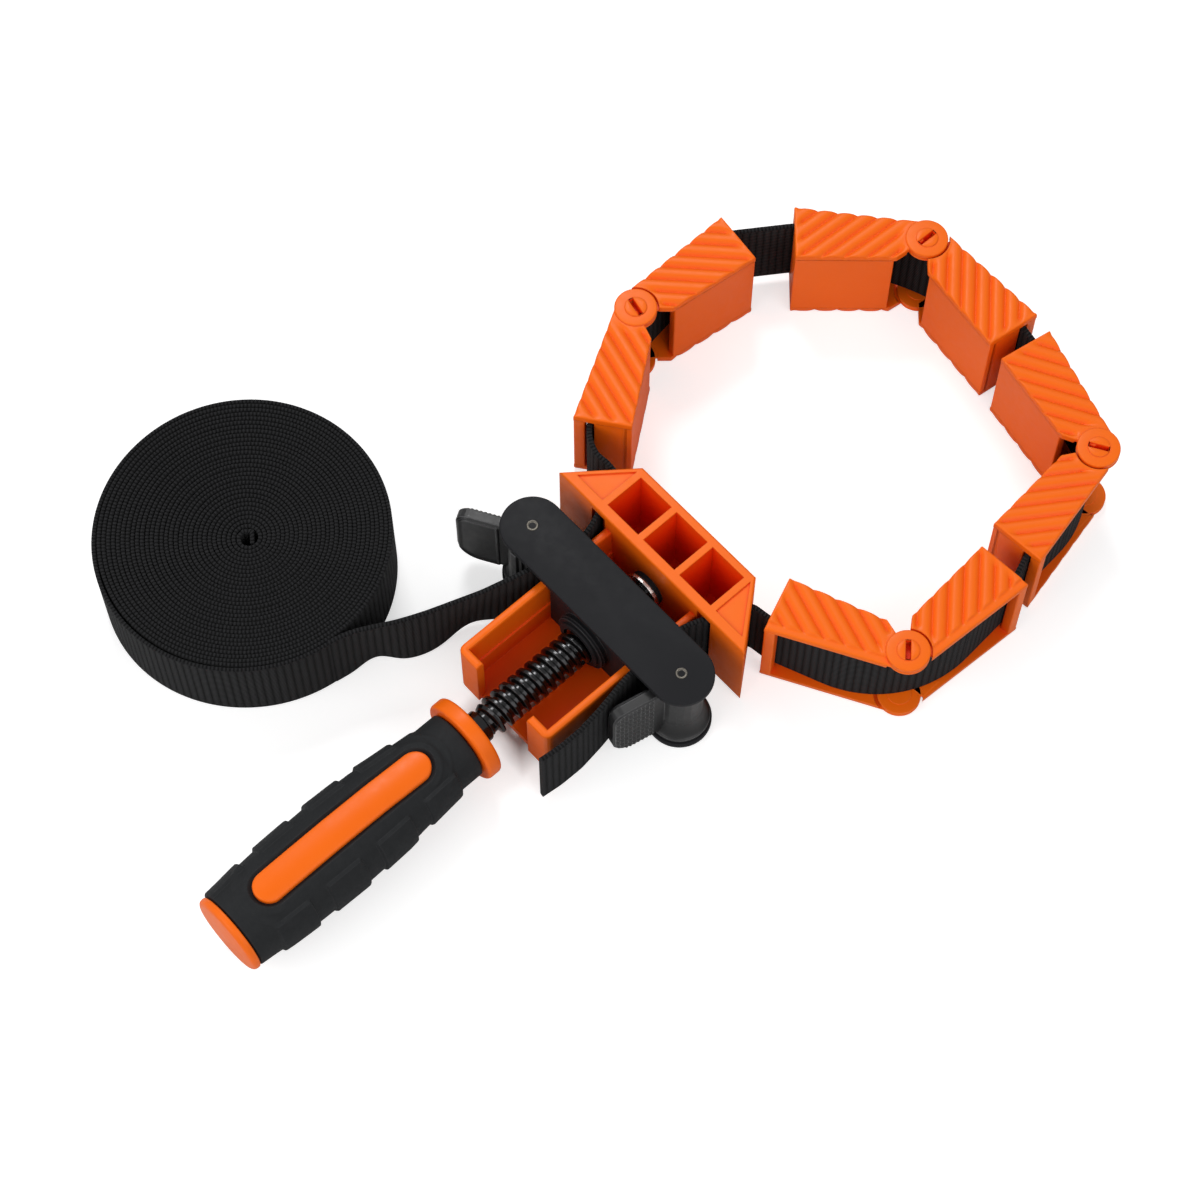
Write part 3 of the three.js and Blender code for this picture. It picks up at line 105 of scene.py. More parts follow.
class Shell:
    """Vertices and faces of one piece, gathered from several closed surfaces."""

    def __init__(self) -> None:
        """Starts with nothing in it."""
        self.points: list[np.ndarray] = []
        self.faces: list[np.ndarray] = []
        self.uvs: list[np.ndarray] = []
        self.count = 0

    def add(self, points: np.ndarray, quads: np.ndarray) -> None:
        """Adds points in millimetres and the quads between them; a triangle repeats its last index."""
        flat = points.reshape(-1, 3)
        self.points.append(flat)
        self.faces.append(quads.reshape(-1, 4) + self.count)
        self.count += len(flat)

    def ring(self, points: np.ndarray) -> None:
        """Adds a rows by columns sheet that closes on itself both ways."""
        self.add(points, grid_quads(*points.shape[:2], True, True))

    def tube(self, rings: np.ndarray, uv: np.ndarray | None = None) -> None:
        """Adds a tube of rings closed at both ends by a fan about each ring's middle.

        Args:
            rings: stations by points by 3, each ring closed on itself.
            uv: stations by points by 2 surface places in millimetres, or nothing.
        """
        rows, columns = rings.shape[:2]
        ends = np.stack([rings[0].mean(0), rings[-1].mean(0)])
        k = np.arange(columns)
        after = (k + 1) % columns
        first, last, tail = rows * columns, rows * columns + 1, (rows - 1) * columns
        caps = np.concatenate([
            np.stack([np.full(columns, first), after, k, k], 1),
            np.stack([np.full(columns, last), tail + k, tail + after, tail + after], 1),
        ])
        self.add(np.concatenate([rings.reshape(-1, 3), ends]),
                 np.concatenate([grid_quads(rows, columns, False, True), caps]))
        if uv is not None:
            self.uvs.append(np.concatenate([uv.reshape(-1, 2), uv[0].mean(0)[None], uv[-1].mean(0)[None]]))

    def slab(self, upper: np.ndarray, lower: np.ndarray) -> None:
        """Adds a slab between two rows by columns sheets of points, closed around their rims."""
        rows, columns = upper.shape[:2]
        size = rows * columns
        quads = grid_quads(rows, columns)
        index = np.arange(size).reshape(rows, columns)
        rim = np.concatenate([index[0, :], index[1:, -1], index[-1, -2::-1], index[-2:0:-1, 0]])
        after = np.roll(rim, -1)
        sides = np.stack([rim, rim + size, after + size, after], 1)
        self.add(np.concatenate([upper.reshape(-1, 3), lower.reshape(-1, 3)]),
                 np.concatenate([quads, quads[:, ::-1] + size, sides]))

    def prism(self, outline: np.ndarray, low: float, high: float, radius: float, steps: int) -> None:
        """Adds an upright prism with rounded top and bottom edges.

        At height turn a of the edge, the outline moves in by r (1 - cos a) while z rises by r sin a.

        Args:
            outline: N by 2 plan points, counter-clockwise.
            low: bottom z.
            high: top z.
            radius: the edges' radius.
            steps: segments to an edge.
        """
        turn = quarter(steps + 1)
        inset = np.concatenate([radius * (1 - np.sin(turn)), radius * (1 - np.cos(turn))])
        z = np.concatenate([low + radius * (1 - np.cos(turn)), high - radius * (1 - np.sin(turn))])
        rings = np.empty((len(z), len(outline), 3))
        rings[..., :2] = outline[None] + sideways(outline, closed=True)[None] * inset[:, None, None]
        rings[..., 2] = z[:, None]
        self.tube(rings)

    def turned(self, profile: Route, sides: int, about: Sequence[float] | None = None,
               closed: bool = False) -> None:
        """Adds a body turned about the screw's axis or about an upright one.

        Args:
            profile: N by 2 of radius and place along the axis.
            sides: segments around.
            about: the upright axis's place in plan, or nothing for the screw's axis.
            closed: whether the profile closes on itself, as for a ring; else its ends get fans.
        """
        a = all_round(sides)
        r, t = (column[:, None] + 0 * a for column in np.array(profile).T)
        first, second = r * np.cos(a), r * np.sin(a)
        if about is None:
            rings = np.stack([first, t, second + AXIS_Z], -1)
        else:
            rings = np.stack([first + about[0], second + about[1], t], -1)
        (self.ring if closed else self.tube)(rings)

    def make(self, name: str, material: bpy.types.Material, smooth: float) -> bpy.types.Object:
        """Makes the Blender object, turned outward, with its surface places as a UV map if it has any.

        Args:
            name: the piece's name.
            material: its finish.
            smooth: the angle in degrees above which an edge stays sharp.

        Returns:
            The new object, on no body yet.
        """
        points = np.concatenate(self.points) * MM
        faces = [q[:3].tolist() if q[2] == q[3] else q.tolist() for q in np.concatenate(self.faces)]
        mesh = bpy.data.meshes.new(name)
        mesh.from_pydata(points.tolist(), [], faces)
        if self.uvs:
            places = np.concatenate(self.uvs) * MM
            layer = mesh.uv_layers.new(name="surface")
            loops = np.empty(len(mesh.loops), dtype=np.int32)
            mesh.loops.foreach_get("vertex_index", loops)
            layer.data.foreach_set("uv", places[loops].astype(np.float32).ravel())
        mesh.validate()
        mesh.update()
        work = bmesh.new()
        work.from_mesh(mesh)
        bmesh.ops.recalc_face_normals(work, faces=work.faces)
        work.to_mesh(mesh)
        work.free()
        mesh.shade_smooth()
        mesh.set_sharp_from_angle(angle=math.radians(smooth))
        mesh.materials.append(material)
        obj = show(name, mesh)
        return obj

    def build(self, name: str, body: str, slot: str, material: bpy.types.Material, smooth: float,
              node: str | None = None) -> None:
        """Makes the object, hangs it on its body and lets it stand for a CAD node.

        Args:
            name: the piece's name.
            body: the body it moves with.
            slot: not used.
            material: its finish.
            smooth: the angle in degrees above which an edge stays sharp.
            node: the node it replaces, or nothing.
        """
        obj = self.make(name, material, smooth)
        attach(obj, body)
        if node is not None:
            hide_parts(node)


def grid_quads(rows: int, columns: int, wrap_rows: bool = False, wrap_columns: bool = False) -> np.ndarray:
    """Indices of the quads of a rows by columns sheet, M by 4; a wrap joins the last line to the first."""
    i = np.arange(rows if wrap_rows else rows - 1)
    j = np.arange(columns if wrap_columns else columns - 1)
    a, b = np.meshgrid(i, j, indexing="ij")
    c, d = (a + 1) % rows, (b + 1) % columns
    return np.stack([a * columns + b, c * columns + b, c * columns + d, a * columns + d], -1).reshape(-1, 4)


def lifted(plan: np.ndarray, z: np.ndarray) -> np.ndarray:
    """Plan places with their heights as a third number."""
    return np.concatenate([plan, z[..., None]], -1)


def circle(angles: np.ndarray, radius: float = 1.0) -> np.ndarray:
    """Points of a circle about the origin, N by 2."""
    return radius * np.stack([np.cos(angles), np.sin(angles)], 1)


def all_round(count: int) -> np.ndarray:
    """Angles of a full turn."""
    return np.linspace(0, 2 * math.pi, count, endpoint=False)


def quarter(count: int) -> np.ndarray:
    """Angles of a quarter turn, with both ends."""
    return np.linspace(0, math.pi / 2, count)


def direction(degrees: float) -> tuple[np.ndarray, np.ndarray]:
    """The unit vectors along a heading and to its left."""
    a = math.radians(degrees)
    along = np.array([math.cos(a), math.sin(a)])
    return along, np.array([-along[1], along[0]])


def bell(x: np.ndarray, at: float, wide: float) -> np.ndarray:
    """A bell curve of height 1 about a place."""
    return np.exp(-((x - at) / wide) ** 2)


def edge_drop(distance: np.ndarray, radius: float) -> np.ndarray:
    """How far a rounded edge lies below its face: the radius minus the circle's height there.

    Args:
        distance: how far inside the outline a place lies.
        radius: the edge's radius.

    Returns:
        The drop at each place.
    """
    past = np.clip(radius - distance, 0, radius)
    return radius - np.sqrt(radius ** 2 - past ** 2)


def steps_along(route: np.ndarray) -> np.ndarray:
    """Distances between neighbouring points of a route."""
    return np.linalg.norm(np.diff(route, axis=0), axis=1)


def run_along(route: np.ndarray) -> np.ndarray:
    """Distance from the start of a route to each of its points."""
    return np.concatenate([[0], np.cumsum(steps_along(route))])


def eased(share: np.ndarray) -> np.ndarray:
    """A share from 0 to 1 with a level start and end: s s (3 - 2 s)."""
    return share * share * (3 - 2 * share)


def sideways(route: np.ndarray, closed: bool = False) -> np.ndarray:
    """Mitred sideways direction at each point of a plan route: left of the way it runs.

    Args:
        route: N by 2.
        closed: whether the last point runs on to the first.

    Returns:
        N by 2, lengthened at bends so that an offset route keeps its distance.
    """
    forward = np.roll(route, -1, 0) - route if closed else np.diff(route, axis=0)
    forward /= np.linalg.norm(forward, axis=1, keepdims=True)
    if closed:
        before, after = np.roll(forward, 1, 0), forward
    else:
        before, after = np.vstack([forward[:1], forward]), np.vstack([forward, forward[-1:]])
    scale = 1 + (before * after).sum(1, keepdims=True)
    total = before + after
    return np.stack([-total[:, 1], total[:, 0]], 1) / np.maximum(scale, 0.35)


def resample(route: Route, step: float, smooth: int) -> np.ndarray:
    """Points at about equal steps along a route, eased by averaging neighbours.

    Args:
        route: the route's corner points.
        step: wished distance between points.
        smooth: how many times to average; the ends stay.

    Returns:
        N by 2.
    """
    points = np.asarray(route, float)
    for _ in range(2):
        length = run_along(points)
        at = np.linspace(0, length[-1], max(3, int(round(length[-1] / step)) + 1))
        points = np.stack([np.interp(at, length, points[:, 0]), np.interp(at, length, points[:, 1])], 1)
        for _ in range(smooth):
            points[1:-1] = (points[:-2] + 2 * points[1:-1] + points[2:]) / 4
    return points


def rounded_section(width: float, height: float, radius: float) -> np.ndarray:
    """Outline of a rectangle about the origin with round corners of four points, counter-clockwise."""
    corners = np.array([[1, 1], [-1, 1], [-1, -1], [1, -1]]) * [width / 2 - radius, height / 2 - radius]
    turn = quarter(4)
    return np.concatenate([c + circle(turn + q * math.pi / 2, radius) for q, c in enumerate(corners)])


def ring_profile(inner: float, outer: float, low: float, high: float, radius: float, steps: int = 6,
                 lip: float = 0.0) -> np.ndarray:
    """Closed profile of a flat ring whose outer edges are rounded, as radius and place pairs.

    Args:
        inner: the hole's radius.
        outer: the rim's radius.
        low: the first face's place.
        high: the last face's place.
        radius: the edges' radius.
        steps: segments to an edge.
        lip: width of a band of faces beside the hole, or 0 for none.

    Returns:
        N by 2.
    """
    turn = quarter(steps + 1)
    first = np.stack([outer - radius + radius * np.sin(turn), low + radius - radius * np.cos(turn)], 1)
    last = np.stack([outer - radius + radius * np.cos(turn), high - radius + radius * np.sin(turn)], 1)
    bands = ([[inner + lip, low]], [[inner + lip, high]]) if lip else ([], [])
    return np.concatenate([[[inner, low], *bands[0]], first, last, [*bands[1], [inner, high]]])


def edge_spaced(count: int, margin: float) -> np.ndarray:
    """Shares from 0 to 1, of which four at each end lie within the margin."""
    near = margin * np.array([0, 0.12, 0.3, 0.55])
    return np.concatenate([near, np.linspace(margin, 1 - margin, count - 8), 1 - near[::-1]])


def round_corners(outline: np.ndarray, radius: float) -> np.ndarray:
    """A counter-clockwise outline with its corners cut to curves of three segments.

    Args:
        outline: N by 2.
        radius: how far from the corner a curve starts.

    Returns:
        4 N by 2.
    """
    before = np.roll(outline, 1, 0) - outline
    after = np.roll(outline, -1, 0) - outline
    before *= radius / np.linalg.norm(before, axis=1, keepdims=True)
    after *= radius / np.linalg.norm(after, axis=1, keepdims=True)
    t = np.linspace(0, 1, 4)[None, :, None]
    p, a, b = outline[:, None], (outline + before)[:, None], (outline + after)[:, None]
    return (a * (1 - t) ** 2 + p * 2 * t * (1 - t) + b * t ** 2).reshape(-1, 2)


# ---- finishes ----------------------------------------------------------------------------------


class Nodes:
    """Short words for building a node tree."""

    def __init__(self, tree: bpy.types.NodeTree) -> None:
        """Keeps the tree that the nodes go into."""
        self.tree = tree

    def fill(self, node: bpy.types.Node, **inputs: object) -> bpy.types.Node:
        """Sets or links a node's inputs.

        Args:
            node: the node.
            inputs: socket names, with "_" for spaces, or "i" and a number, to values or sockets. A
                colour of three numbers becomes opaque.

        Returns:
            The node.
        """
        for key, value in inputs.items():
            socket = node.inputs[int(key[1:])] if key[1:].isdigit() else node.inputs[key.replace("_", " ")]
            if isinstance(value, bpy.types.NodeSocket):
                self.tree.links.new(value, socket)
                continue
            plain_colour = isinstance(value, tuple) and len(value) == 3
            socket.default_value = (*value, 1) if plain_colour else value
        return node

    def new(self, kind: str, **inputs: object) -> bpy.types.Node:
        """Adds a node: "set_x" sets its attribute x, and the others fill its inputs."""
        node = self.tree.nodes.new(kind)
        for key in [key for key in inputs if key.startswith("set_")]:
            setattr(node, key[4:], inputs.pop(key))
        return self.fill(node, **inputs)

    def math(self, operation: str, a: object, b: object = 0.0) -> bpy.types.NodeSocket:
        """A Math node's result."""
        return self.new("ShaderNodeMath", set_operation=operation, i0=a, i1=b).outputs[0]

    def mix(self, factor: object, a: object, b: object) -> bpy.types.NodeSocket:
        """A mix of two colours."""
        return self.new("ShaderNodeMix", set_data_type="RGBA", i0=factor, i6=a, i7=b).outputs[2]

    def ramp(self, value: object, low: float, high: float, to_low: object = 0.0,
             to_high: object = 1.0) -> bpy.types.NodeSocket:
        """A value mapped from one range to another and held inside it."""
        return self.new("ShaderNodeMapRange", set_clamp=True, Value=value, From_Min=low, From_Max=high,
                        To_Min=to_low, To_Max=to_high).outputs[0]

    def noise(self, place: bpy.types.NodeSocket, scale: object, detail: float,
              rough: float = 0.5) -> bpy.types.NodeSocket:
        """A noise over a place."""
        return self.new("ShaderNodeTexNoise", Vector=place, Scale=scale, Detail=detail,
                        Roughness=rough).outputs[0]

    def place(self) -> bpy.types.NodeSocket:
        """The place in the object's own coordinates."""
        return self.new("ShaderNodeTexCoord").outputs["Object"]


class Group(Nodes):
    """A shader node group with named sockets."""

    def __init__(self, name: str, inputs: dict[str, object], outputs: dict[str, str]) -> None:
        """Makes the group.

        Args:
            name: the group's name.
            inputs: names to defaults; a tuple makes a colour socket, a number a float socket.
            outputs: names to "Color", "Float" or "Vector".
        """
        super().__init__(bpy.data.node_groups.new(name, "ShaderNodeTree"))
        for label, value in inputs.items():
            kind = "NodeSocketColor" if isinstance(value, tuple) else "NodeSocketFloat"
            socket = self.tree.interface.new_socket(name=label, in_out="INPUT", socket_type=kind)
            socket.default_value = value
        for label, kind in outputs.items():
            self.tree.interface.new_socket(name=label, in_out="OUTPUT", socket_type=f"NodeSocket{kind}")
        self.given = self.tree.nodes.new("NodeGroupInput").outputs
        self.result = self.tree.nodes.new("NodeGroupOutput")


class Effects:
    """The effects that the finishes share, each a node group built once."""

    def __init__(self) -> None:
        """Builds the groups."""
        self.grain = self._grain()
        self.tone = self._tone()
        self.edge = self._edge()
        self.webbing = self._webbing()

    @staticmethod
    def _grain() -> bpy.types.NodeTree:
        """Fine moulding grain: two noises, one fine and one broad, as a height."""
        n = Group("moulding_grain", {"Fine": 2500.0, "Broad": 180.0, "Broad Share": 0.4},
                  {"Height": "Float"})
        place = n.place()
        fine, broad = n.noise(place, n.given["Fine"], 2.0), n.noise(place, n.given["Broad"], 1.0)
        both = n.new("ShaderNodeMix", i0=n.given["Broad Share"], i2=fine, i3=broad)
        n.fill(n.result, Height=both.outputs[0])
        return n.tree

    @staticmethod
    def _tone() -> bpy.types.NodeTree:
        """Soft changes of colour and of gloss over a moulded or painted surface."""
        n = Group("surface_tone", {
            "Color": (1, 1, 1, 1), "Shade": (0, 0, 0, 1), "Amount": 0.25, "Scale": 60.0, "Rough Low": 0.35,
            "Rough High": 0.5}, {"Color": "Color", "Roughness": "Float"})
        place = n.place()
        soft = n.noise(place, n.given["Scale"], 4.0)
        scuffs = n.noise(place, n.math("MULTIPLY", n.given["Scale"], 7.0), 5.0, 0.7)
        share = n.math("MULTIPLY", n.ramp(soft, 0.35, 0.7), n.given["Amount"])
        n.fill(n.result, Color=n.mix(share, n.given["Color"], n.given["Shade"]),
               Roughness=n.ramp(scuffs, 0.3, 0.7, n.given["Rough Low"], n.given["Rough High"]))
        return n.tree

    @staticmethod
    def _edge() -> bpy.types.NodeTree:
        """Rounded edges for shading and a mask of where they are.

        The mask is one minus the dot product of the plain normal and the normal averaged within the radius.
        """
        n = Group("soft_edges", {"Radius": 0.0004}, {"Normal": "Vector", "Mask": "Float"})
        bevel = n.new("ShaderNodeBevel", set_samples=6, Radius=n.given["Radius"]).outputs[0]
        plain = n.new("ShaderNodeNewGeometry").outputs["Normal"]
        dot = n.new("ShaderNodeVectorMath", set_operation="DOT_PRODUCT", i0=bevel, i1=plain)
        turned_by = n.math("SUBTRACT", 1.0, dot.outputs["Value"])
        n.fill(n.result, Normal=bevel, Mask=n.ramp(turned_by, 0.01, 0.16))
        return n.tree

    @staticmethod
    def _webbing() -> bpy.types.NodeTree:
        """Ribbed webbing from the strap's own UV map: cross ribs along u, threads between them along v.

        The ribs are twice as close on the two narrow edges. Shade is a painted shade mask: dark in the
        grooves between ribs, lighter on their crests, with a little random fuzz.
        """
        n = Group("webbing_weave", {"Rib": 0.00205, "Thread": 0.0008},
                  {"Height": "Float", "Shade": "Float"})
        uv = n.new("ShaderNodeUVMap", set_uv_map="surface").outputs[0]
        split = n.new("ShaderNodeSeparateXYZ", Vector=uv).outputs
        along, across = (n.math("MULTIPLY", n.math("DIVIDE", split[i], n.given[pitch]), 2 * math.pi)
                         for i, pitch in enumerate(("Rib", "Thread")))
        border = n.math("GREATER_THAN", n.math("ABSOLUTE", split[1]), STRAP_WIDTH * MM / 2 - 0.0005)
        beat = n.math("MULTIPLY", along, n.math("ADD", 0.5, n.math("MULTIPLY", border, 0.5)))
        rib = n.math("POWER", n.math("ABSOLUTE", n.math("COSINE", beat)), 0.7)
        thread = n.math("MULTIPLY", n.math("ADD", n.math("SINE", n.math("ADD", across, along)), 1.0), 0.16)
        fuzz = n.noise(uv, 2600.0, 3.0)
        height = n.math("ADD", n.math("ADD", rib, thread), n.math("MULTIPLY", fuzz, 0.3))
        n.fill(n.result, Height=height,
               Shade=n.ramp(n.math("ADD", rib, n.math("MULTIPLY", fuzz, 0.35)), 0.25, 1.3))
        return n.tree


def principled(name: str) -> tuple[bpy.types.Material, Nodes, bpy.types.Node]:
    """A new material, the words for its nodes and its Principled shader."""
    material = bpy.data.materials.new(name)
    material.use_nodes = True
    return material, Nodes(material.node_tree), material.node_tree.nodes["Principled BSDF"]


@dataclass(frozen=True)
class Finish:
    """A moulded, painted or bare finish: its colours, gloss, grain and a painted highlight along its rounded
    edges.

    In hollows it goes over to the hollow shade colour, a painted shade laid into recesses by ambient
    occlusion, where it has one.
    """

    name: str
    color: Colour
    shade: Colour
    # edge: the colour of a painted highlight along rounded edges.
    edge: Colour
    edge_highlight_amount: float = 0.3
    rough: tuple[float, float] = (0.35, 0.5)
    metallic: float = 0.0
    specular: float = 0.5
    fine: float = 2500.0
    bump: float = 0.08
    bump_depth: float = 0.0001
    edge_radius: float = 0.0004
    hollow_shade: Colour | None = None
    hollow_reach: float = 0.022
    hollow_range: tuple[float, float] = (0.3, 0.93)

    def build(self, effects: Effects) -> bpy.types.Material:
        """Makes the material with the shared node groups."""
        material, n, shader = principled(self.name)
        tone = n.new("ShaderNodeGroup", set_node_tree=effects.tone, Color=self.color, Shade=self.shade,
                     Rough_Low=self.rough[0], Rough_High=self.rough[1]).outputs
        edge = n.new("ShaderNodeGroup", set_node_tree=effects.edge, Radius=self.edge_radius).outputs
        # Painted highlight: the edge mask mixes the edge colour in along rounded edges.
        color = n.mix(n.math("MULTIPLY", edge["Mask"], self.edge_highlight_amount), tone["Color"], self.edge)
        # Painted shade: ambient occlusion blends the colour towards the hollow shade colour in recesses and
        # between parts.
        if self.hollow_shade is not None:
            deep = n.new("ShaderNodeAmbientOcclusion", set_only_local=True, set_samples=6,
                         Distance=self.hollow_reach)
            color = n.mix(n.ramp(deep.outputs["AO"], *self.hollow_range, 1.0, 0.0), color, self.hollow_shade)
        grain = n.new("ShaderNodeGroup", set_node_tree=effects.grain, Fine=self.fine)
        bump = n.new("ShaderNodeBump", Strength=self.bump, Distance=self.bump_depth,
                     Height=grain.outputs["Height"], Normal=edge["Normal"])
        n.fill(shader, Metallic=self.metallic, Specular_IOR_Level=self.specular, Base_Color=color,
               Roughness=tone["Roughness"], Normal=bump.outputs[0])
        return material


@dataclass(frozen=True)
class WebbingFinish:
    """Black ribbed webbing that follows the strap's own UV map, with painted shade in the grooves between its
    ribs.
    """

    # The hollow colour is a painted shade for the grooves between ribs; the crest colour is the ribs' own
    # colour.
    hollow_shade: Colour = (0.0008, 0.0008, 0.0009)
    crest: Colour = (0.022, 0.0222, 0.0235)
    rough: float = 0.82
    specular: float = 0.08
    sheen: tuple[float, float] = (0.03, 0.5)
    bump: float = 0.9
    bump_depth: float = 0.0005

    def build(self, effects: Effects) -> bpy.types.Material:
        """Makes the material with the shared weave."""
        material, n, shader = principled("black_webbing")
        weave = n.new("ShaderNodeGroup", set_node_tree=effects.webbing).outputs
        bump = n.new("ShaderNodeBump", Strength=self.bump, Distance=self.bump_depth, Height=weave["Height"])
        # Painted shade: the base colour goes from the hollow colour in the grooves to the crest colour on the
        # ribs.
        n.fill(shader, Roughness=self.rough, Specular_IOR_Level=self.specular, Sheen_Weight=self.sheen[0],
               Sheen_Roughness=self.sheen[1], Base_Color=n.mix(weave["Shade"], self.hollow_shade, self.crest),
               Normal=bump.outputs[0])
        return material


# The third colour of each finish is its painted edge highlight.
FINISHES = (
    # orange_plastic's hollow colour is a deep red painted shade for its recesses.
    Finish("orange_plastic", (0.93, 0.152, 0.004), (0.86, 0.12, 0.003), (1.0, 0.27, 0.05),
           rough=(0.34, 0.46), bump=0.05, specular=0.2, hollow_shade=(0.9, 0.05, 0.002)),
    Finish("black_plastic", (0.0145, 0.0147, 0.0165), (0.0095, 0.0097, 0.011), (0.12, 0.12, 0.124),
           edge_highlight_amount=0.6, rough=(0.42, 0.55), bump=0.12, fine=3200.0, specular=0.1),
    Finish("lever_plastic", (0.017, 0.017, 0.0175), (0.012, 0.012, 0.0125), (0.2, 0.2, 0.204),
           edge_highlight_amount=0.7, rough=(0.28, 0.42), bump=0.1, specular=0.35),
    # A lighter copy of lever_plastic for the knurled faces: painted highlight, with a bright edge colour that
    # lights the knurl's ridges.
    Finish("lit_knurled_plastic", (0.022, 0.022, 0.0225), (0.014, 0.014, 0.0145), (0.3, 0.3, 0.302),
           edge_highlight_amount=0.9, bump=0.1, specular=0.4, edge_radius=0.0003),
    Finish("grip_rubber", (0.0155, 0.0165, 0.0178), (0.01, 0.011, 0.012), (0.06, 0.062, 0.064),
           edge_highlight_amount=0.5, rough=(0.6, 0.78), bump=0.3, bump_depth=0.00015, fine=1800.0, specular=0.16),
    Finish("bright_steel", (0.72, 0.71, 0.69), (0.55, 0.54, 0.52), (0.9, 0.9, 0.88), metallic=1.0,
           rough=(0.2, 0.34), bump=0.05),
    Finish("black_steel", (0.036, 0.036, 0.037), (0.018, 0.018, 0.019), (0.35, 0.35, 0.35),
           edge_highlight_amount=0.35, metallic=0.9, rough=(0.12, 0.22), bump=0.05, edge_radius=0.00025),
    Finish("rivet_steel", (0.13, 0.118, 0.1), (0.06, 0.056, 0.05), (0.3, 0.28, 0.25), metallic=0.8,
           bump=0.1, edge_radius=0.0002),
)


# ---- the strap ---------------------------------------------------------------------------------


@dataclass
class Strap:
    """The 25 mm webbing: bands along plan routes, standing on edge."""

    material: bpy.types.Material
    edge_radius: float = 0.5
    face_margin: float = 1.5
    step: float = 0.6

    def lay(self, name: str, node: str, route: np.ndarray, held: str, low: Edge = STRAP_LOW,
            high: Edge = STRAP_HIGH, thick: float = STRAP_THICK, columns: int = 7,
            lean: Edge = 0.0) -> tuple[bpy.types.Object, float]:
        """Makes one piece of webbing: a rectangle with round corners, carried along a route.

        A point (s, t) of the section at station i lies at route(i) + t side(i), z from low(i) to high(i). The
        lower edge leans out by lean(i) side(i).

        Args:
            name: the piece's name without its ending.
            node: the CAD node that it stands for.
            route: N by 2 in plan.
            held: not used.
            low: lower edge, one height or one for each point of the route.
            high: upper edge.
            thick: the band's thickness.
            columns: how many points each broad face has across it.
            lean: how far the lower edge leans to the left of the route.

        Returns:
            The piece, on no body yet, and its length in millimetres.
        """
        low, high, lean = (np.broadcast_to(value, len(route))[:, None] for value in (low, high, lean))
        section = rounded_section(STRAP_WIDTH, thick, self.edge_radius)
        reach = STRAP_WIDTH / 2 - self.face_margin
        face = np.linspace(-reach, reach, columns)
        upper = np.stack([face[::-1], np.full(columns, thick / 2)], 1)
        lower = np.stack([face, np.full(columns, -thick / 2)], 1)
        section = np.concatenate([section[:4], upper, section[4:12], lower, section[12:]])
        share = section[None, :, 0] / STRAP_WIDTH + 0.5
        rings = np.empty((len(route), len(section), 3))
        out = section[None, :, 1] + lean * (1 - share)
        rings[..., :2] = route[:, None] + sideways(route)[:, None] * out[..., None]
        rings[..., 2] = low + (high - low) * share
        uv = np.empty((len(route), len(section), 2))
        uv[..., 0] = run_along(route)[:, None]
        uv[..., 1] = section[None, :, 0]
        shell = Shell()
        shell.tube(rings, uv)
        obj = shell.make(f"{name}_webbing", self.material, 50.0)
        length = float(steps_along(route).sum())
        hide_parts(node)
        return obj, length

    def piece(self, name: str, route: Route, smooth: int = 2) -> bpy.types.Object:
        """A level piece between the jaws' plates, which stands for the node of its name."""
        return self.lay(name, name, resample(route, self.step, smooth), "stretched")[0]


@dataclass
class Arm:
    """One arm of a corner jaw: its pin, heading, which way is outward and the corner's angle."""

    name: str
    pin: np.ndarray
    heading: float
    outward: int
    kind: ArmKind
    corner: float
    length: float = 36.5
    slot: float = 5.8
    inside: float = 0.65
    hinge_share: float = 0.03
    split_share: float = 0.5
    bend_share: float = 0.24

    @property
    def flipped(self) -> bool:
        """Whether this corner jaw lies the other way up."""
        return self.name.startswith("4")

    def place(self, local: np.ndarray) -> np.ndarray:
        """Local (along, outward) places in the plan of the clamp."""
        along, left = direction(self.heading)
        return self.pin + local[..., :1] * along + local[..., 1:2] * left * self.outward

    def strap(self, first: float, last: float, count: int = 12) -> np.ndarray:
        """The strap's middle line inside the arm, between two shares of its length from the hinge.

        It lies on a wide circle about a point on the corner's bisector. The circle touches the line through
        both end walls' slots and passes the hinge's axis on its inner side.

        Args:
            first: share where the run starts.
            last: share where it ends.
            count: how many points.

        Returns:
            count by 2 in plan.
        """
        lean = math.sin(math.radians(self.corner) / 2)
        centre = (self.slot + self.inside) / (1 - lean)
        radius = self.slot + centre * lean
        x = self.length * np.linspace(first, last, count)
        off = np.maximum(0, centre * math.sqrt(1 - lean ** 2) - x)
        return self.place(np.stack([x, self.slot - radius + np.sqrt(radius ** 2 - off ** 2)], 1))

    def half_run(self) -> np.ndarray:
        """The strap from the middle of the arm to the slot in its far end."""
        return self.strap(self.split_share, 1.0)


ARM_LAYOUT = {
    "1a": (1, 306.6, -1), "1b": (1, 82.8, 1), "2a": (2, 227.3, -1), "2b": (2, 352.5, 1),
    "3a": (3, 170.0, -1), "3b": (3, 274.6, 1), "4b": (4, 94.1, -1), "4a": (4, 202.1, 1),
}


def read_arms(record: dict) -> dict[str, Arm]:
    """The eight arms by name, each at its hinge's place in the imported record."""
    places = {joint["name"]: joint.get("pos_m") for joint in record["behaviour"]["joints"]}
    arms = {}
    for name, (number, heading, outward) in ARM_LAYOUT.items():
        pin = np.array(places[f"pin_{number}_fold"][:2]) / MM
        kind = ArmKind.OUTER if name.endswith("a") else ArmKind.INNER
        apart = abs(ARM_LAYOUT[f"{number}a"][1] - ARM_LAYOUT[f"{number}b"][1])
        arms[name] = Arm(name, pin, heading, outward, kind, min(apart, 360 - apart))
    return arms


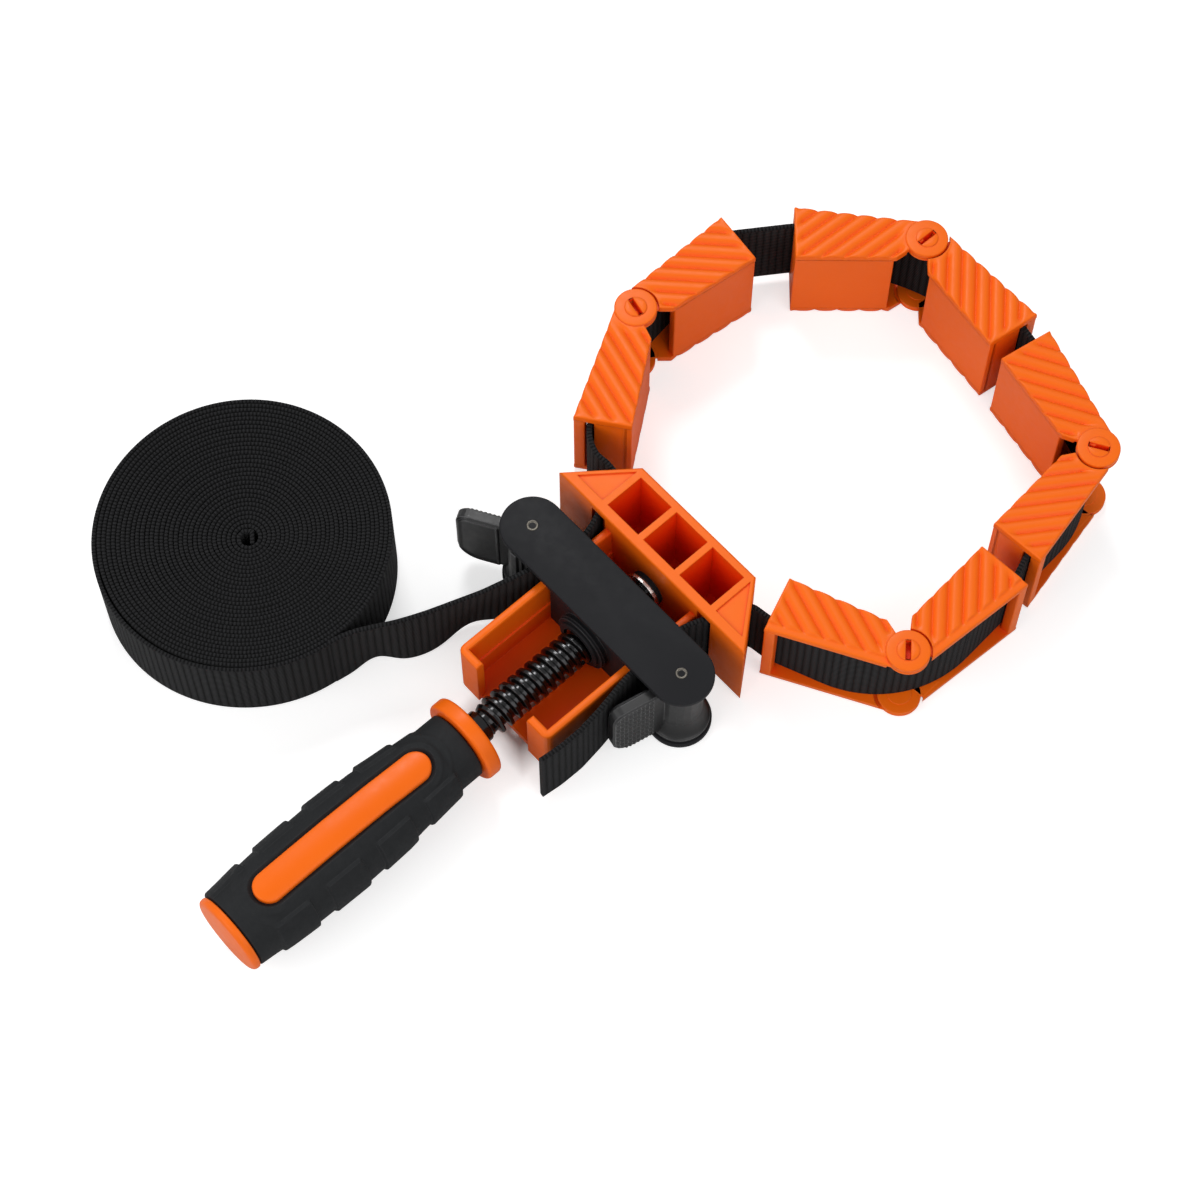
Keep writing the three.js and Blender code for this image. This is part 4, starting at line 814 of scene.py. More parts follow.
@dataclass
class StrapLoop:
    """The whole strap: cut end, run into the fixed jaw, loop through the jaws, tail and coil."""

    strap: Strap
    arms: dict[str, Arm]
    guide: tuple[tuple[float, float], ...] = ((18.7, -7.25), (20.7, -1.45), (22.4, 1.45), (26.264, 10.65))
    end_route: tuple[tuple[float, float], ...] = (
        (18.7, -15), (18.75, -23), (19.9, -31), (21.4, -39), (22.4, -47), (22.3, -54), (21.6, -60))
    tail_route: tuple[tuple[float, float], ...] = (
        (-18.75, -14), (-19.2, -18.5), (-21.7, -29.5), (-24.6, -39.2), (-27.8, -46.7), (-30.8, -54),
        (-34, -61.2), (-36.6, -65.9), (-39.1, -70.4), (-40.7, -74.6))
    tail_leans: tuple[tuple[float, float, float], ...] = ((-41.5, 8.0, -4.2), (-66.5, 5.0, -3.0))
    tail_cut: float = -15.5
    tail_drop: tuple[float, float] = (-28.0, 30.0)
    slack: tuple[tuple[float, float], ...] = ((-30.3, 11.0), (-34.6, 10.6), (-38.3, 12.0), (-41.1, 13.9))
    coil_radius: float = 41.0
    coil_centre: tuple[float, float] = (-81.6, -73.85)
    coil_core: tuple[float, float] = (-79.3, -74.15)
    coil_pitch: float = 1.24
    coil_loops: int = 31
    coil_thick: float = 1.08
    coil_step: float = 1.15
    coil_start: float = -6.0
    coil_crowding: float = 0.55
    coil_ripple: float = 0.12
    coil_waves: tuple[tuple[float, float, float], ...] = ((0.16, 2.3, 0.0), (0.14, 7.7, 1.3))
    coil_foot: float = 0.25
    loose_loop: tuple[float, float, float] = (0.45, 1.25, 0.75)

    def build(self) -> None:
        """Makes every piece of the strap."""
        guide = np.array(self.guide)
        mid = (guide[2] + guide[3]) / 2
        run = self.strap.piece("strap_run_right", [self.end_route[0], *guide[:3], mid])
        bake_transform(run)
        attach(self.strap.piece("strap_end", self.end_route), "carriage")
        self.gap("strap_gap_1", [mid * FLIP, guide[3] * FLIP], "1a", "frame", self.slack)
        self.gap("strap_gap_2", self.arms["1b"].half_run(), "2a", "jaw_1b")
        self.gap("strap_gap_3", self.arms["2b"].half_run(), "3a", None)
        self.gap("strap_gap_4", self.arms["3b"].half_run(), "4b", "jaw_3b")
        self.gap("strap_gap_5", [mid, guide[3]], "4a", "frame")
        for number, (first, second) in enumerate(("ab", "ab", "ab", "ba"), 1):
            self.bend(number, self.arms[f"{number}{first}"], self.arms[f"{number}{second}"])
        spiral = self.coil()
        self.tail([mid * FLIP, *(guide[2::-1] * FLIP), *self.tail_route, spiral[0]])

    def gap(self, name: str, before: Route, arm: str, first: str | None, slack: Route = ()) -> None:
        """A piece across a gap, which rides on jaw_2b or is left on no body.

        Args:
            name: the node it replaces.
            before: the route up to the slot that it leaves.
            arm: the arm that it enters.
            first: the body at its start, or nothing where it only rides on jaw_2b.
            slack: plan points that it passes between the two slots.
        """
        after = self.arms[arm].half_run()[::-1]
        obj = self.strap.piece(name, [*before, *slack, *after], 3)
        if first is None:
            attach(obj, "jaw_2b")
            return
        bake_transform(obj)

    def bend(self, number: int, first: Arm, second: Arm) -> None:
        """The strap around one hinge, from the first arm to the second."""
        route = np.concatenate([first.strap(first.split_share, first.hinge_share),
                                second.strap(second.hinge_share, second.split_share)])
        obj = self.strap.piece(f"strap_bend_{number}", route, 3)
        start, stop = (arm.strap(arm.bend_share, 1.0, 2)[0] * MM for arm in (first, second))
        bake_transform(obj)

    def coil(self) -> np.ndarray:
        """The coil, wound clockwise from above.

        Its radius falls by the pitch for each turn while its centre drifts to the core, and its first turn
        bulges away from the others by a bell curve over the angle. Its upper edge rises and falls by the sum
        of height times sin(rate angle + phase) over the waves.

        Returns:
            Its route, from the outside in.
        """
        whole = 2 * math.pi * self.coil_loops
        count = int(whole * (self.coil_radius - self.coil_pitch * self.coil_loops / 2) / self.coil_step)
        share = 1 - (1 - np.linspace(0, 1, count)) ** self.coil_crowding
        centre = np.outer(1 - share, self.coil_centre) + np.outer(share, self.coil_core)
        angle = np.radians(self.coil_start) - whole * share
        radius = self.coil_radius - STRAP_THICK / 2 - self.coil_pitch * self.coil_loops * share
        radius = radius + self.coil_ripple * np.sin(3 * angle + 1.1) * (1 - share)
        bulge, at, wide = self.loose_loop
        radius = radius + bulge * bell(whole * share, at, wide)
        spiral = centre + circle(angle) * radius[:, None]
        waves = sum(height * np.sin(rate * angle + phase) for height, rate, phase in self.coil_waves)
        lift = waves * np.sin(math.pi * share) + self.coil_foot
        obj, length = self.strap.lay("strap_coil", "strap_coil", spiral, "laid", 0.0,
                                     STRAP_WIDTH - 2 * self.coil_foot + lift, self.coil_thick, 3)
        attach(obj, "frame")
        log.info("strap: coil of %.2f m", length * MM)
        return spiral

    def tail(self, corners: Route) -> None:
        """The tail from the fixed jaw to the coil, in two pieces that meet at the left cam.

        Past the cam its lower edge comes down to the table and leans out by a bell curve about each place.

        Args:
            corners: its plan points.
        """
        whole = resample(corners, self.strap.step, 6)
        cut = int(np.argmin(np.abs(whole[:, 1] - self.tail_cut)))
        run, first = self.strap.lay("strap_run_left", "strap_tail", whole[:cut + 1], "stretched")
        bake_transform(run)
        route = whole[cut:]
        start, reach = self.tail_drop
        drop = STRAP_LOW * eased(np.clip((start - route[:, 1]) / reach, 0, 1))
        lean = sum(far * bell(route[:, 1], at, wide) for at, wide, far in self.tail_leans)
        tail, second = self.strap.lay("strap_tail", "strap_tail", route, "laid", STRAP_LOW - drop,
                                      STRAP_HIGH - drop, lean=lean)
        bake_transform(tail)
        log.info("strap: tail of %.3f m", (first + second) * MM)


# ---- corner jaws -------------------------------------------------------------------------------


@dataclass
class CornerJaw:
    """One arm's moulding: two ribbed plates, an inner wall, a slotted end wall and the hinge lugs."""

    arm: Arm
    material: bpy.types.Material
    inner: float = 6.0
    outer: float = 10.2
    near: float = 8.5
    plate: float = 2.2
    height: float = 30.0
    inner_wall: float = 2.5
    end_wall: float = 3.0
    end_wall_slant: float = 0.28
    wall_sunk: float = 0.3
    wall_inset: float = 0.6
    slot_half: float = 1.2
    knuckle: float = 5.9
    knuckle_clear: float = 0.6
    outer_edge_share: float = 0.93
    rib_pitch: float = 4.0
    rib_depth: float = 0.95
    rib_angle: float = 39.0
    rib_fade: float = 1.8
    rib_clear: tuple[float, float] = (0.6, 0.4)
    border: float = 2.0
    border_drop: float = 0.55
    border_ease: float = 0.5
    edge: float = 0.45
    lap: float = 0.7
    lap_gap: float = 0.3
    lap_start: float = 3.6
    knuckle_proud: float = 0.4
    stud: float = 2.6
    stud_face: float = 3.05
    stud_cover: float = 3.3
    stud_proud: float = 0.3
    stud_slot: tuple[float, float] = (5.3, 1.4)
    stud_turn: float = 41.0
    flipped_turn: float = 112.0

    def near_edge(self, x: np.ndarray) -> np.ndarray:
        """The inner boundary: straight from the pin to the wall's near end, then along the wall."""
        return np.maximum(-self.inner, -self.inner * x / self.near)

    def far_edge(self, x: np.ndarray) -> np.ndarray:
        """The outer boundary, a straight line from beside the pin to the far corner."""
        start = self.knuckle * self.outer_edge_share
        return start + (self.outer - start) * x / self.arm.length

    def plan_grid(self, along: int, across: int) -> tuple[np.ndarray, np.ndarray]:
        """Plan places of a plate, in the arm's frame, on a grid that is closer together at the edges.

        Args:
            along: rows.
            across: columns.

        Returns:
            x and outward y.
        """
        s = edge_spaced(along, 2 * self.edge / self.arm.length)
        t = edge_spaced(across, 2 * self.edge / (self.inner + self.outer))
        start = np.full(across, 1.0)
        if self.arm.kind is ArmKind.INNER:
            cut = circle(np.radians(np.linspace(-60, 88, 400)), self.knuckle + self.knuckle_clear)
            px, py = cut.T
            share = (py - self.near_edge(px)) / (self.far_edge(px) - self.near_edge(px))
            start = np.interp(t, share, px)
        x = start[None] + (self.arm.length - start)[None] * s[:, None]
        low, high = self.near_edge(x), self.far_edge(x)
        return x, low + (high - low) * t[None]

    def wave(self, x: np.ndarray, y: np.ndarray) -> np.ndarray:
        """Height below the crests: the depth times one minus the absolute cosine across the ribs.

        It fades out towards the hinge and the far end. On the corner jaw that lies the other way up, the
        outer border is level, and the change is eased.
        """
        a = math.radians(self.rib_angle)
        across = x * math.sin(a) + y * math.cos(a)
        drop = self.rib_depth * (1 - np.abs(np.cos(math.pi * across / self.rib_pitch))) ** 1.5
        hinge_clear, end_clear = self.rib_clear
        from_hinge = np.hypot(x, y) - self.knuckle - hinge_clear
        drop = drop * np.clip(np.minimum(from_hinge, self.arm.length - x - end_clear) / self.rib_fade, 0, 1)
        if not self.arm.flipped:
            return drop
        share = np.clip((self.far_edge(x) - y - self.border) / self.border_ease, 0, 1)
        return drop * share + self.border_drop * (1 - share)

    def plates(self, shell: Shell) -> None:
        """The two ribbed plates with rounded edges, one above and one below the strap."""
        x, y = self.plan_grid(150, 60)
        drop = self.wave(x, y)
        for distance in (y - self.near_edge(x), self.far_edge(x) - y, self.arm.length - x):
            drop = drop + edge_drop(distance, self.edge)
        plan = self.arm.place(np.stack([x, y], -1))
        about_hinge = np.hypot(x, y) < self.knuckle + self.knuckle_clear + 0.3
        halved = about_hinge & (self.arm.kind is ArmKind.OUTER)
        thick = np.where(halved, self.plate - self.lap - self.lap_gap, self.plate)
        shell.slab(lifted(plan, self.height - drop), lifted(plan, self.height - thick))
        shell.slab(lifted(plan, drop), lifted(plan, thick))

    def wall(self, shell: Shell, corners: Route, low: float, high: float, radius: float = 0.4) -> None:
        """An upright wall over a plan outline in the arm's frame."""
        outline = self.arm.place(np.array(corners))
        area = np.cross(outline - outline[0], np.roll(outline, -1, 0) - outline[0]).sum()
        outline = round_corners(outline if area > 0 else outline[::-1], radius)
        shell.prism(outline, low, high, 0.05, 1)

    def build(self) -> None:
        """Makes the arm and lets it stand for its node."""
        shell = Shell()
        self.plates(shell)
        low, high = self.plate - self.wall_sunk, self.height - self.plate + self.wall_sunk
        near, far = self.near + self.wall_inset, self.arm.length
        back, wall = far - self.end_wall, -self.inner + self.inner_wall
        self.wall(shell, [(near, -self.inner), (far, -self.inner), (far, wall), (near, wall)], low, high)
        slot_low, slot_high = self.arm.slot - self.slot_half, self.arm.slot + self.slot_half
        foot, edge = -self.inner + 1, float(self.far_edge(np.array(far)))
        self.wall(shell, [(back, foot), (far, foot), (far, slot_low), (back, slot_low)], low, high)
        self.wall(shell, [(back, slot_high), (far, slot_high), (far, edge),
                          (back, edge - self.end_wall_slant)], low, high)
        self.lugs(shell)
        name = f"jaw_{self.arm.name}"
        shell.build(f"{name}_moulding", name, "orange_plastic", self.material, 38.0, name)

    def lugs(self, shell: Shell) -> None:
        """The halved plates about the hinge: outer laps with split studs, or inner laps."""
        pin, r, inner = self.arm.pin, self.knuckle, self.plate - self.lap
        if self.arm.kind is ArmKind.OUTER:
            edge = inner - self.lap_gap
            crown = self.height + self.knuckle_proud
            for low, high in ((0.1, edge), (self.height - edge, crown)):
                profile = ring_profile(self.stud_face - 0.05, r, low, high, 0.35, 4, TINY)
                shell.turned(profile, 72, pin, True)
            self.split_round(shell, self.stud_face, self.height - edge + 0.4, crown + self.stud_proud, 0.25)
            self.split_round(shell, self.stud_face, 0.12, edge - 0.1, 0.1)
            self.split_round(shell, self.stud, self.height - self.plate + 0.1, self.height - 0.6, 0.05)
            self.split_round(shell, self.stud, 0.4, self.plate - 0.1, 0.05)
            for low in (self.plate - 0.12, self.height - self.plate - 0.12):
                cover, high = self.stud_cover, low + 0.24
                shell.turned([[TINY, low], [cover, low], [cover, high], [TINY, high]], 48, pin)
            return
        start, reach, wall = self.lap_start, self.near + 1.5, -self.inner + 0.1
        corners = [(start, -self.inner * start / self.near + 0.1), (self.near, wall), (reach, wall),
                   (reach, r - 0.4), (start, r - 0.6)]
        upper = self.height - self.plate + 0.02
        for low, high in ((inner, self.plate - 0.02), (upper, self.height - inner)):
            shell.turned(ring_profile(self.stud + 0.3, r, low, high, 0.1, 4, TINY), 72, pin, True)
            self.wall(shell, corners, low, high, 0.1)

    def split_round(self, shell: Shell, radius: float, low: float, high: float, edge: float) -> None:
        """A round about the hinge's axis that a slot splits in two, with the bridges at the slot's ends.

        Args:
            shell: what it is added to.
            radius: the round's radius.
            low: its bottom.
            high: its top.
            edge: how far its edges are rounded.
        """
        length, width = self.stud_slot
        along, across = direction(
            self.arm.heading + (self.flipped_turn if self.arm.flipped else self.stud_turn))
        start = math.asin(width / 2 / radius)
        half = circle(np.linspace(start, math.pi - start, 25), radius)
        near, far, side = length / 2, radius - 0.12, width / 2 + 0.1
        bridge = np.array([[near, -side], [far, -side], [far, side], [near, side]])
        for piece in (half, -half, bridge, -bridge) if radius > near else (half, -half):
            outline = self.arm.pin + piece[:, :1] * along + piece[:, 1:] * across
            shell.prism(outline, low, high, edge, 2)


# ---- handle and screw --------------------------------------------------------------------------


@dataclass
class Handle:
    """Collar, core, rubber sleeve with its raised blocks, inlays and end cap, about the screw's axis."""

    orange: bpy.types.Material
    rubber: bpy.types.Material
    front: float = -65.05
    collar_radius: float = 12.2
    collar_length: float = 4.4
    collar_hole: float = 4.95
    collar_round: float = 1.0
    grip_front: float = -69.75
    grip_length: float = 76.3
    grip_radius: float = 12.8
    profile: tuple[tuple[float, float], ...] = (
        (0, 0.77), (0.098, 0.772), (0.104, 0.812), (0.16, 0.84), (0.28, 0.905), (0.36, 0.96), (0.45, 0.982),
        (0.56, 1.0), (0.71, 0.985), (0.79, 0.972), (0.87, 0.943), (0.945, 0.897), (1.0, 0.872))
    core_radius: float = 7.86
    core_rear: float = -146.0
    bore_radius: float = 8.16
    block_height: float = 0.8
    block_length: float = 11.9
    block_half_angle: float = 47.0
    block_first: float = -82.95
    block_pitch: float = 16.8
    block_stagger: float = 6.9
    block_side: float = 3.5
    block_end: float = 0.7
    blocks: int = 4
    inlay_half: float = 4.3
    inlay_front: float = -84.65
    inlay_rear: float = -133.45
    inlay_deep: float = 4.5
    inlay_round: float = 0.5
    inlay_proud: float = 0.25
    groove: float = 1.15
    groove_deep: float = 1.6
    roll: float = math.radians(3.6)
    end_lines: tuple[float, ...] = (2.6, 5.2)
    line_height: float = 0.22
    line_width: float = 0.45
    line_fade: float = 2.0
    end_round: float = 0.5
    cap_radius: float = 11.3
    cap_length: float = 2.5
    cap_round: float = 1.4

    def radius_at(self, y: np.ndarray) -> np.ndarray:
        """The sleeve's plain radius at a y: a smooth curve through the profile shares."""
        share = np.clip((self.grip_front - y) / self.grip_length, 0, 1)
        at, value = np.array(self.profile).T
        fine = np.linspace(0, 1, 400)
        curve = np.interp(fine, at, value)
        for _ in range(12):
            curve[1:-1] = (curve[:-2] + 2 * curve[1:-1] + curve[2:]) / 4
        return self.grip_radius * np.interp(share, fine, curve)

    def stadium_distance(self, x: np.ndarray, y: np.ndarray) -> np.ndarray:
        """Distance in plan from the stadium of the inlay, negative inside it."""
        return np.hypot(x, y - np.clip(y, self.inlay_rear, self.inlay_front)) - self.inlay_half

    def block(self, y: np.ndarray, a: np.ndarray) -> np.ndarray:
        """How much of a raised block is at a place, 0 to 1, with sides eased over a short way."""
        around = np.degrees(np.abs((a + math.pi / 2) % math.pi - math.pi / 2))
        side = np.clip((self.block_half_angle - around) / self.block_side, 0, 1)
        first = np.where(np.cos(a) > 0, self.block_first, self.block_first - self.block_stagger)
        number = np.clip(np.round((first - y) / self.block_pitch), 0, self.blocks - 1)
        off = np.abs(y - first + number * self.block_pitch)
        along = np.clip((self.block_length / 2 - off) / self.block_end, 0, 1)
        return eased(np.minimum(side, along))

    def about_axis(self, r: np.ndarray, y: np.ndarray, a: np.ndarray) -> np.ndarray:
        """Places at a radius and a turn about the screw's axis, rolled as the handle lies."""
        return np.stack([r * np.cos(a - self.roll), y, AXIS_Z + r * np.sin(a - self.roll)], -1)

    def sleeve(self) -> None:
        """The rubber sleeve: radius(y) + blocks - groove about the inlay + end lines, with its bore."""
        y = np.linspace(self.grip_front, self.grip_front - self.grip_length, 230)
        a = all_round(240)
        yy, aa = np.meshgrid(y, a, indexing="ij")
        plain = self.radius_at(yy)
        off = self.stadium_distance(plain * np.cos(aa), yy)
        r = plain + self.block_height * self.block(yy, aa)
        r = r - self.groove_deep * np.clip(1 - off / self.groove, 0, 1) ** 0.7
        past = np.clip(np.maximum(yy - self.inlay_front, self.inlay_rear - yy) / self.line_fade, 0, 1)
        for line in self.end_lines:
            r = r + self.line_height * past * bell(off, line, self.line_width)
        end = np.minimum(np.abs(yy - y[0]), np.abs(yy - y[-1]))
        r = r - edge_drop(end, self.end_round)
        bore = [self.about_axis(self.bore_radius, np.full_like(a, place), a) for place in (y[-1], y[0])]
        shell = Shell()
        shell.ring(np.concatenate([self.about_axis(r, yy, aa), np.stack(bore)]))
        shell.build("handle_grip_sleeve", "screw_handle", "grip_rubber", self.rubber, 40.0, "handle_grip")

    def core(self) -> None:
        """Collar, rod and the two inlays, one moulding that stands for the core node."""
        shell = Shell()
        rear, r = self.front - self.collar_length, self.core_radius
        collar = ring_profile(self.collar_hole, self.collar_radius, rear, self.front, self.collar_round)
        shell.turned(collar, 96, closed=True)
        shell.turned([[TINY, rear], [r, rear], [r, self.core_rear], [TINY, self.core_rear]], 64)
        for sign in (1, -1):
            self.inlay(shell, sign)
        shell.build("handle_core_moulding", "screw_handle", "orange_plastic", self.orange, 40.0,
                    "handle_core")

    def inlay(self, shell: Shell, sign: int) -> None:
        """One inlay, laid on the sleeve's radius over a stadium in plan, above (1) or below (-1) the axis.

        Rows run across it, closer together towards its round ends, where the half width is the circle's.
        The edge is rounded down into the groove by the distance from the stadium's outline.
        """
        tip = self.inlay_half * np.cos(np.linspace(0.03, math.pi / 2, 14))
        straight = np.linspace(self.inlay_front, self.inlay_rear, 60)[1:-1]
        y = np.concatenate([self.inlay_front + tip, straight, self.inlay_rear - tip[::-1]])
        beyond = np.maximum(0, np.maximum(y - self.inlay_front, self.inlay_rear - y))
        wide = np.sqrt(np.maximum(self.inlay_half ** 2 - beyond ** 2, 1e-4))
        share = np.sin(np.linspace(-math.pi / 2, math.pi / 2, 25))
        x, yy = wide[:, None] * share[None], y[:, None] + 0 * share[None]
        drop = edge_drop(-self.stadium_distance(x, yy), self.inlay_round)
        r = self.radius_at(yy) + self.inlay_proud - drop
        height = np.sqrt(np.maximum(r ** 2 - x ** 2, 1.0))
        c, s = math.cos(self.roll), math.sin(self.roll)
        turn = np.array([[c, 0, s], [0, 1, 0], [-s, 0, c]])
        plan = np.stack([x, yy], -1)
        shell.slab(*(lifted(plan, sign * z) @ turn.T + [0, 0, AXIS_Z]
                     for z in (height, height - self.inlay_deep)))

    def cap(self) -> None:
        """The end cap: a short drum with a rounded rear edge and an end face crowned a little."""
        front = self.grip_front - self.grip_length - 0.3
        rear = front - self.cap_length
        core = self.cap_radius - self.cap_round
        a = quarter(9)
        edge = np.stack([core + self.cap_round * np.cos(a),
                         rear + 0.3 + (self.cap_round - 0.1) * (1 - np.sin(a))], 1)
        start = [[TINY, front], [self.cap_radius - 0.25, front], [self.cap_radius, front - 0.25]]
        crown = [[core * 0.98, rear + 0.27], [core * 0.7, rear + 0.13], [core * 0.35, rear + 0.03],
                 [TINY, rear]]
        shell = Shell()
        shell.turned(np.concatenate([start, edge, crown]), 96)
        shell.build("handle_cap_end", "screw_handle", "orange_plastic", self.orange, 40.0, "handle_cap")

    def build(self) -> None:
        """Makes the handle's pieces."""
        self.sleeve()
        self.core()
        self.cap()
        log.info("handle: sleeve, core and cap")


@dataclass
class Screw:
    """The threaded rod with its neck, shoulder and front journal."""

    material: bpy.types.Material
    crest: float = 5.25
    root: float = 3.75
    pitch: float = 3.0
    thread_rear: float = -61.05
    thread_front: float = -7.35
    neck: tuple[tuple[float, float], ...] = (
        (TINY, -86.7), (4.65, -86.7), (4.65, -61.6), (4.35, -61.2), (3.7, -60.9), (TINY, -60.9))
    nose: tuple[tuple[float, float], ...] = (
        (TINY, -7.6), (4.1, -7.6), (4.3, -7.3), (4.3, -5.2), (4.1, -5.05), (3.0, -5.05), (3.0, 1.6),
        (2.5, 1.65), (2.5, 2.8), (3.0, 2.85), (3.0, 4.1), (2.7, 4.45), (TINY, 4.45))

    def build(self) -> None:
        """Makes the screw: radius(y, a) rises and falls with the phase y / pitch + a / 2 pi."""
        turns = round((self.thread_front - self.thread_rear) / self.pitch)
        y = np.linspace(self.thread_rear, self.thread_front, 18 * turns)
        a = all_round(72)
        yy, aa = np.meshgrid(y, a, indexing="ij")
        wave = np.cos(2 * math.pi * (yy - self.thread_rear) / self.pitch + aa)
        fade = np.clip(np.minimum(yy - y[0], y[-1] - yy) / self.pitch, 0, 1)
        r = self.root + (self.crest - self.root) * eased(np.clip(0.5 + 0.95 * wave, 0, 1)) * fade
        shell = Shell()
        shell.tube(np.stack([r * np.cos(aa), yy, AXIS_Z + r * np.sin(aa)], -1))
        for profile in (self.neck, self.nose):
            shell.turned(profile, 64)
        shell.build("screw_thread", "screw_handle", "black_steel", self.material, 50.0, "screw")
        log.info("screw: %d turns of thread", turns)


# ---- carriage and cam levers -------------------------------------------------------------------


class Paddle(Enum):
    """How a broad face of a cam lever's paddle is moulded."""

    KNURLED = "knurled"
    RIMMED = "rimmed"


@dataclass
class Carriage:
    """The two stadium plates, the rivets and the moulded faces of the cam levers."""

    plate: bpy.types.Material
    lever: bpy.types.Material
    knurl: bpy.types.Material
    steel: bpy.types.Material
    rivet_radius: float = 1.6
    plate_round: float = 0.35
    reach: float = 21.3
    paddle_low: float = 3.5
    paddle_high: float = 26.5
    paddle_half: float = 1.75
    low_corner: float = 6.5
    top_corner: float = 3.5
    pad_start: float = 9.0
    margin: float = 0.5
    tip: float = 1.2
    knurl_pitch: tuple[float, float] = (1.25, 2.6)
    knurl_height: float = 0.5
    knurl_fade: float = 0.4
    rim_height: float = 0.4
    rim_width: float = 1.0
    rim_sides: tuple[float, float] = (0.25, 0.35)
    skin: float = 0.03
    sunk: float = 0.2
    hub: float = 5.9
    foot: float = 8.3
    foot_span: tuple[float, float] = (2.95, 14.0)
    foot_rim: float = 0.9
    flange_hole: float = 5.6

    def build(self) -> None:
        """Makes the plates, rivets, lever faces and the nut's flange."""
        for node in ("carriage_top_plate", "carriage_bottom_plate"):
            self.stadium_plate(node)
        for side, word, heading in ((1, "right", 258.0), (-1, "left", 210.7)):
            pivot = self.rivet(f"{word}_rivet")
            lever = f"{word}_cam"
            self.face(f"{lever}_outer_face", lever, pivot, heading, side, Paddle.KNURLED)
            self.face(f"{lever}_inner_face", lever, pivot, heading, -side, Paddle.RIMMED)
            self.flare(f"{lever}_foot", lever, pivot)
        self.flange()
        log.info("carriage: plates, rivets, lever faces and flange")

    def stadium_plate(self, node: str) -> None:
        """One plate: a stadium as long and wide as the node's box, with rounded edges."""
        low, high = (np.array(corner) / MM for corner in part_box(node))
        radius = (high[1] - low[1]) / 2
        arc = circle(np.linspace(-math.pi / 2, math.pi / 2, 33), radius)
        outline = np.concatenate([arc + [high[0] - radius, 0], -arc + [low[0] + radius, 0]])
        outline[:, 1] += (low[1] + high[1]) / 2
        shell = Shell()
        shell.prism(outline, float(low[2]), float(high[2]), self.plate_round, 4)
        shell.build(f"{node}_stamping", "carriage", "black_plastic", self.plate, 50.0, node)

    def rivet(self, node: str) -> np.ndarray:
        """A rivet whose end has a rounded rim about a dished middle. Returns its place in plan."""
        start, end = (np.array(corner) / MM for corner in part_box(node))
        place, low, high, r = (start + end)[:2] / 2, float(start[2]), float(end[2]), self.rivet_radius
        profile = [[TINY, low], [r, low], [r, high + 0.05], [r - 0.12, high + 0.2], [r - 0.35, high + 0.24],
                   [r - 0.6, high + 0.14], [r - 0.8, high - 0.12], [TINY, high - 0.2]]
        shell = Shell()
        shell.turned(profile, 48, place)
        shell.build(f"{node}_end", "carriage", "black_steel", self.steel, 40.0, node)
        return place

    def face(self, name: str, body: str, pivot: np.ndarray, heading: float, side: int,
             kind: Paddle) -> None:
        """A moulded face on the paddle: a height over its outline, in rows along it.

        Args:
            name: the piece's name.
            body: the lever that it rides on.
            pivot: the rivet's place in plan.
            heading: the paddle's heading in degrees.
            side: 1 for the face to the left of the heading, -1 for the other.
            kind: knurled all over, or a raised rim about a plain middle.
        """
        knurled = kind is Paddle.KNURLED
        end = self.reach - self.margin
        s = np.concatenate([np.linspace(self.pad_start, end - self.tip, 150 if knurled else 70),
                            end - self.tip * (1 - np.linspace(0, 1, 8)[1:] ** 0.5)])
        low = self.paddle_low + self.margin + edge_drop(end - s, self.low_corner)
        high = self.paddle_high - self.margin - edge_drop(end - s, self.top_corner)
        t = edge_spaced(160 if knurled else 60, 0.04)
        along = np.repeat(s[:, None], len(t), 1)
        z = low[:, None] + (high - low)[:, None] * t[None]
        from_sides = np.minimum(z - low[:, None], high[:, None] - z)
        inside = np.minimum(from_sides, np.minimum(end - along, along - s[0]))
        if knurled:
            first, second = (np.cos(math.pi * at / pitch) for at, pitch in zip((along, z), self.knurl_pitch))
            level = np.abs(first * second) * np.clip(inside / self.knurl_fade, 0, 1)
            height = self.knurl_height * level + self.skin
        else:
            outer, inner = self.rim_sides
            level = np.clip(np.minimum(inside / outer, (self.rim_width - inside) / inner), 0, 1)
            height = self.rim_height * level + self.skin
        forward, left = direction(heading)
        shell = Shell()
        shell.slab(*(lifted(pivot + along[..., None] * forward + out[..., None] * left * side, z)
                     for out in (self.paddle_half + height, 0 * height + self.paddle_half - self.sunk)))
        # The knurled face takes a lighter copy of the lever plastic, a painted highlight.
        shell.build(name, body, "black_plastic", self.knurl if knurled else self.lever, 50.0)

    def flare(self, name: str, body: str, pivot: np.ndarray) -> None:
        """The lever's foot: a concave flare from the hub down to a broad rim over the bottom plate."""
        low, high = self.foot_span
        turn = quarter(14)
        curve = np.stack([self.hub + (self.foot - self.hub) * (1 - np.sin(turn)),
                          low + self.foot_rim + (high - low - self.foot_rim) * (1 - np.cos(turn))], 1)
        bore = self.hub - 0.6
        foot = [[bore, low], [self.foot - 0.2, low], [self.foot, low + 0.2]]
        profile = np.concatenate([foot, curve, [[bore, high]]])
        shell = Shell()
        shell.turned(profile, 72, pivot, True)
        shell.build(name, body, "black_plastic", self.lever, 40.0)

    def flange(self) -> None:
        """Two steps on the back of the nut's boss."""
        rear = float(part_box("nut_block")[0][1]) / MM
        shell = Shell()
        for radius, low, high, edge in ((7.2, -0.9, 0.1, 0.3), (8.75, 0.75, 1.25, 0.2)):
            profile = ring_profile(self.flange_hole, radius, rear + low, rear + high, edge)
            shell.turned(profile, 64, closed=True)
        shell.build("nut_flange", "carriage", "black_plastic", self.plate, 40.0)


# ---- camera, light and floor -------------------------------------------------------------------


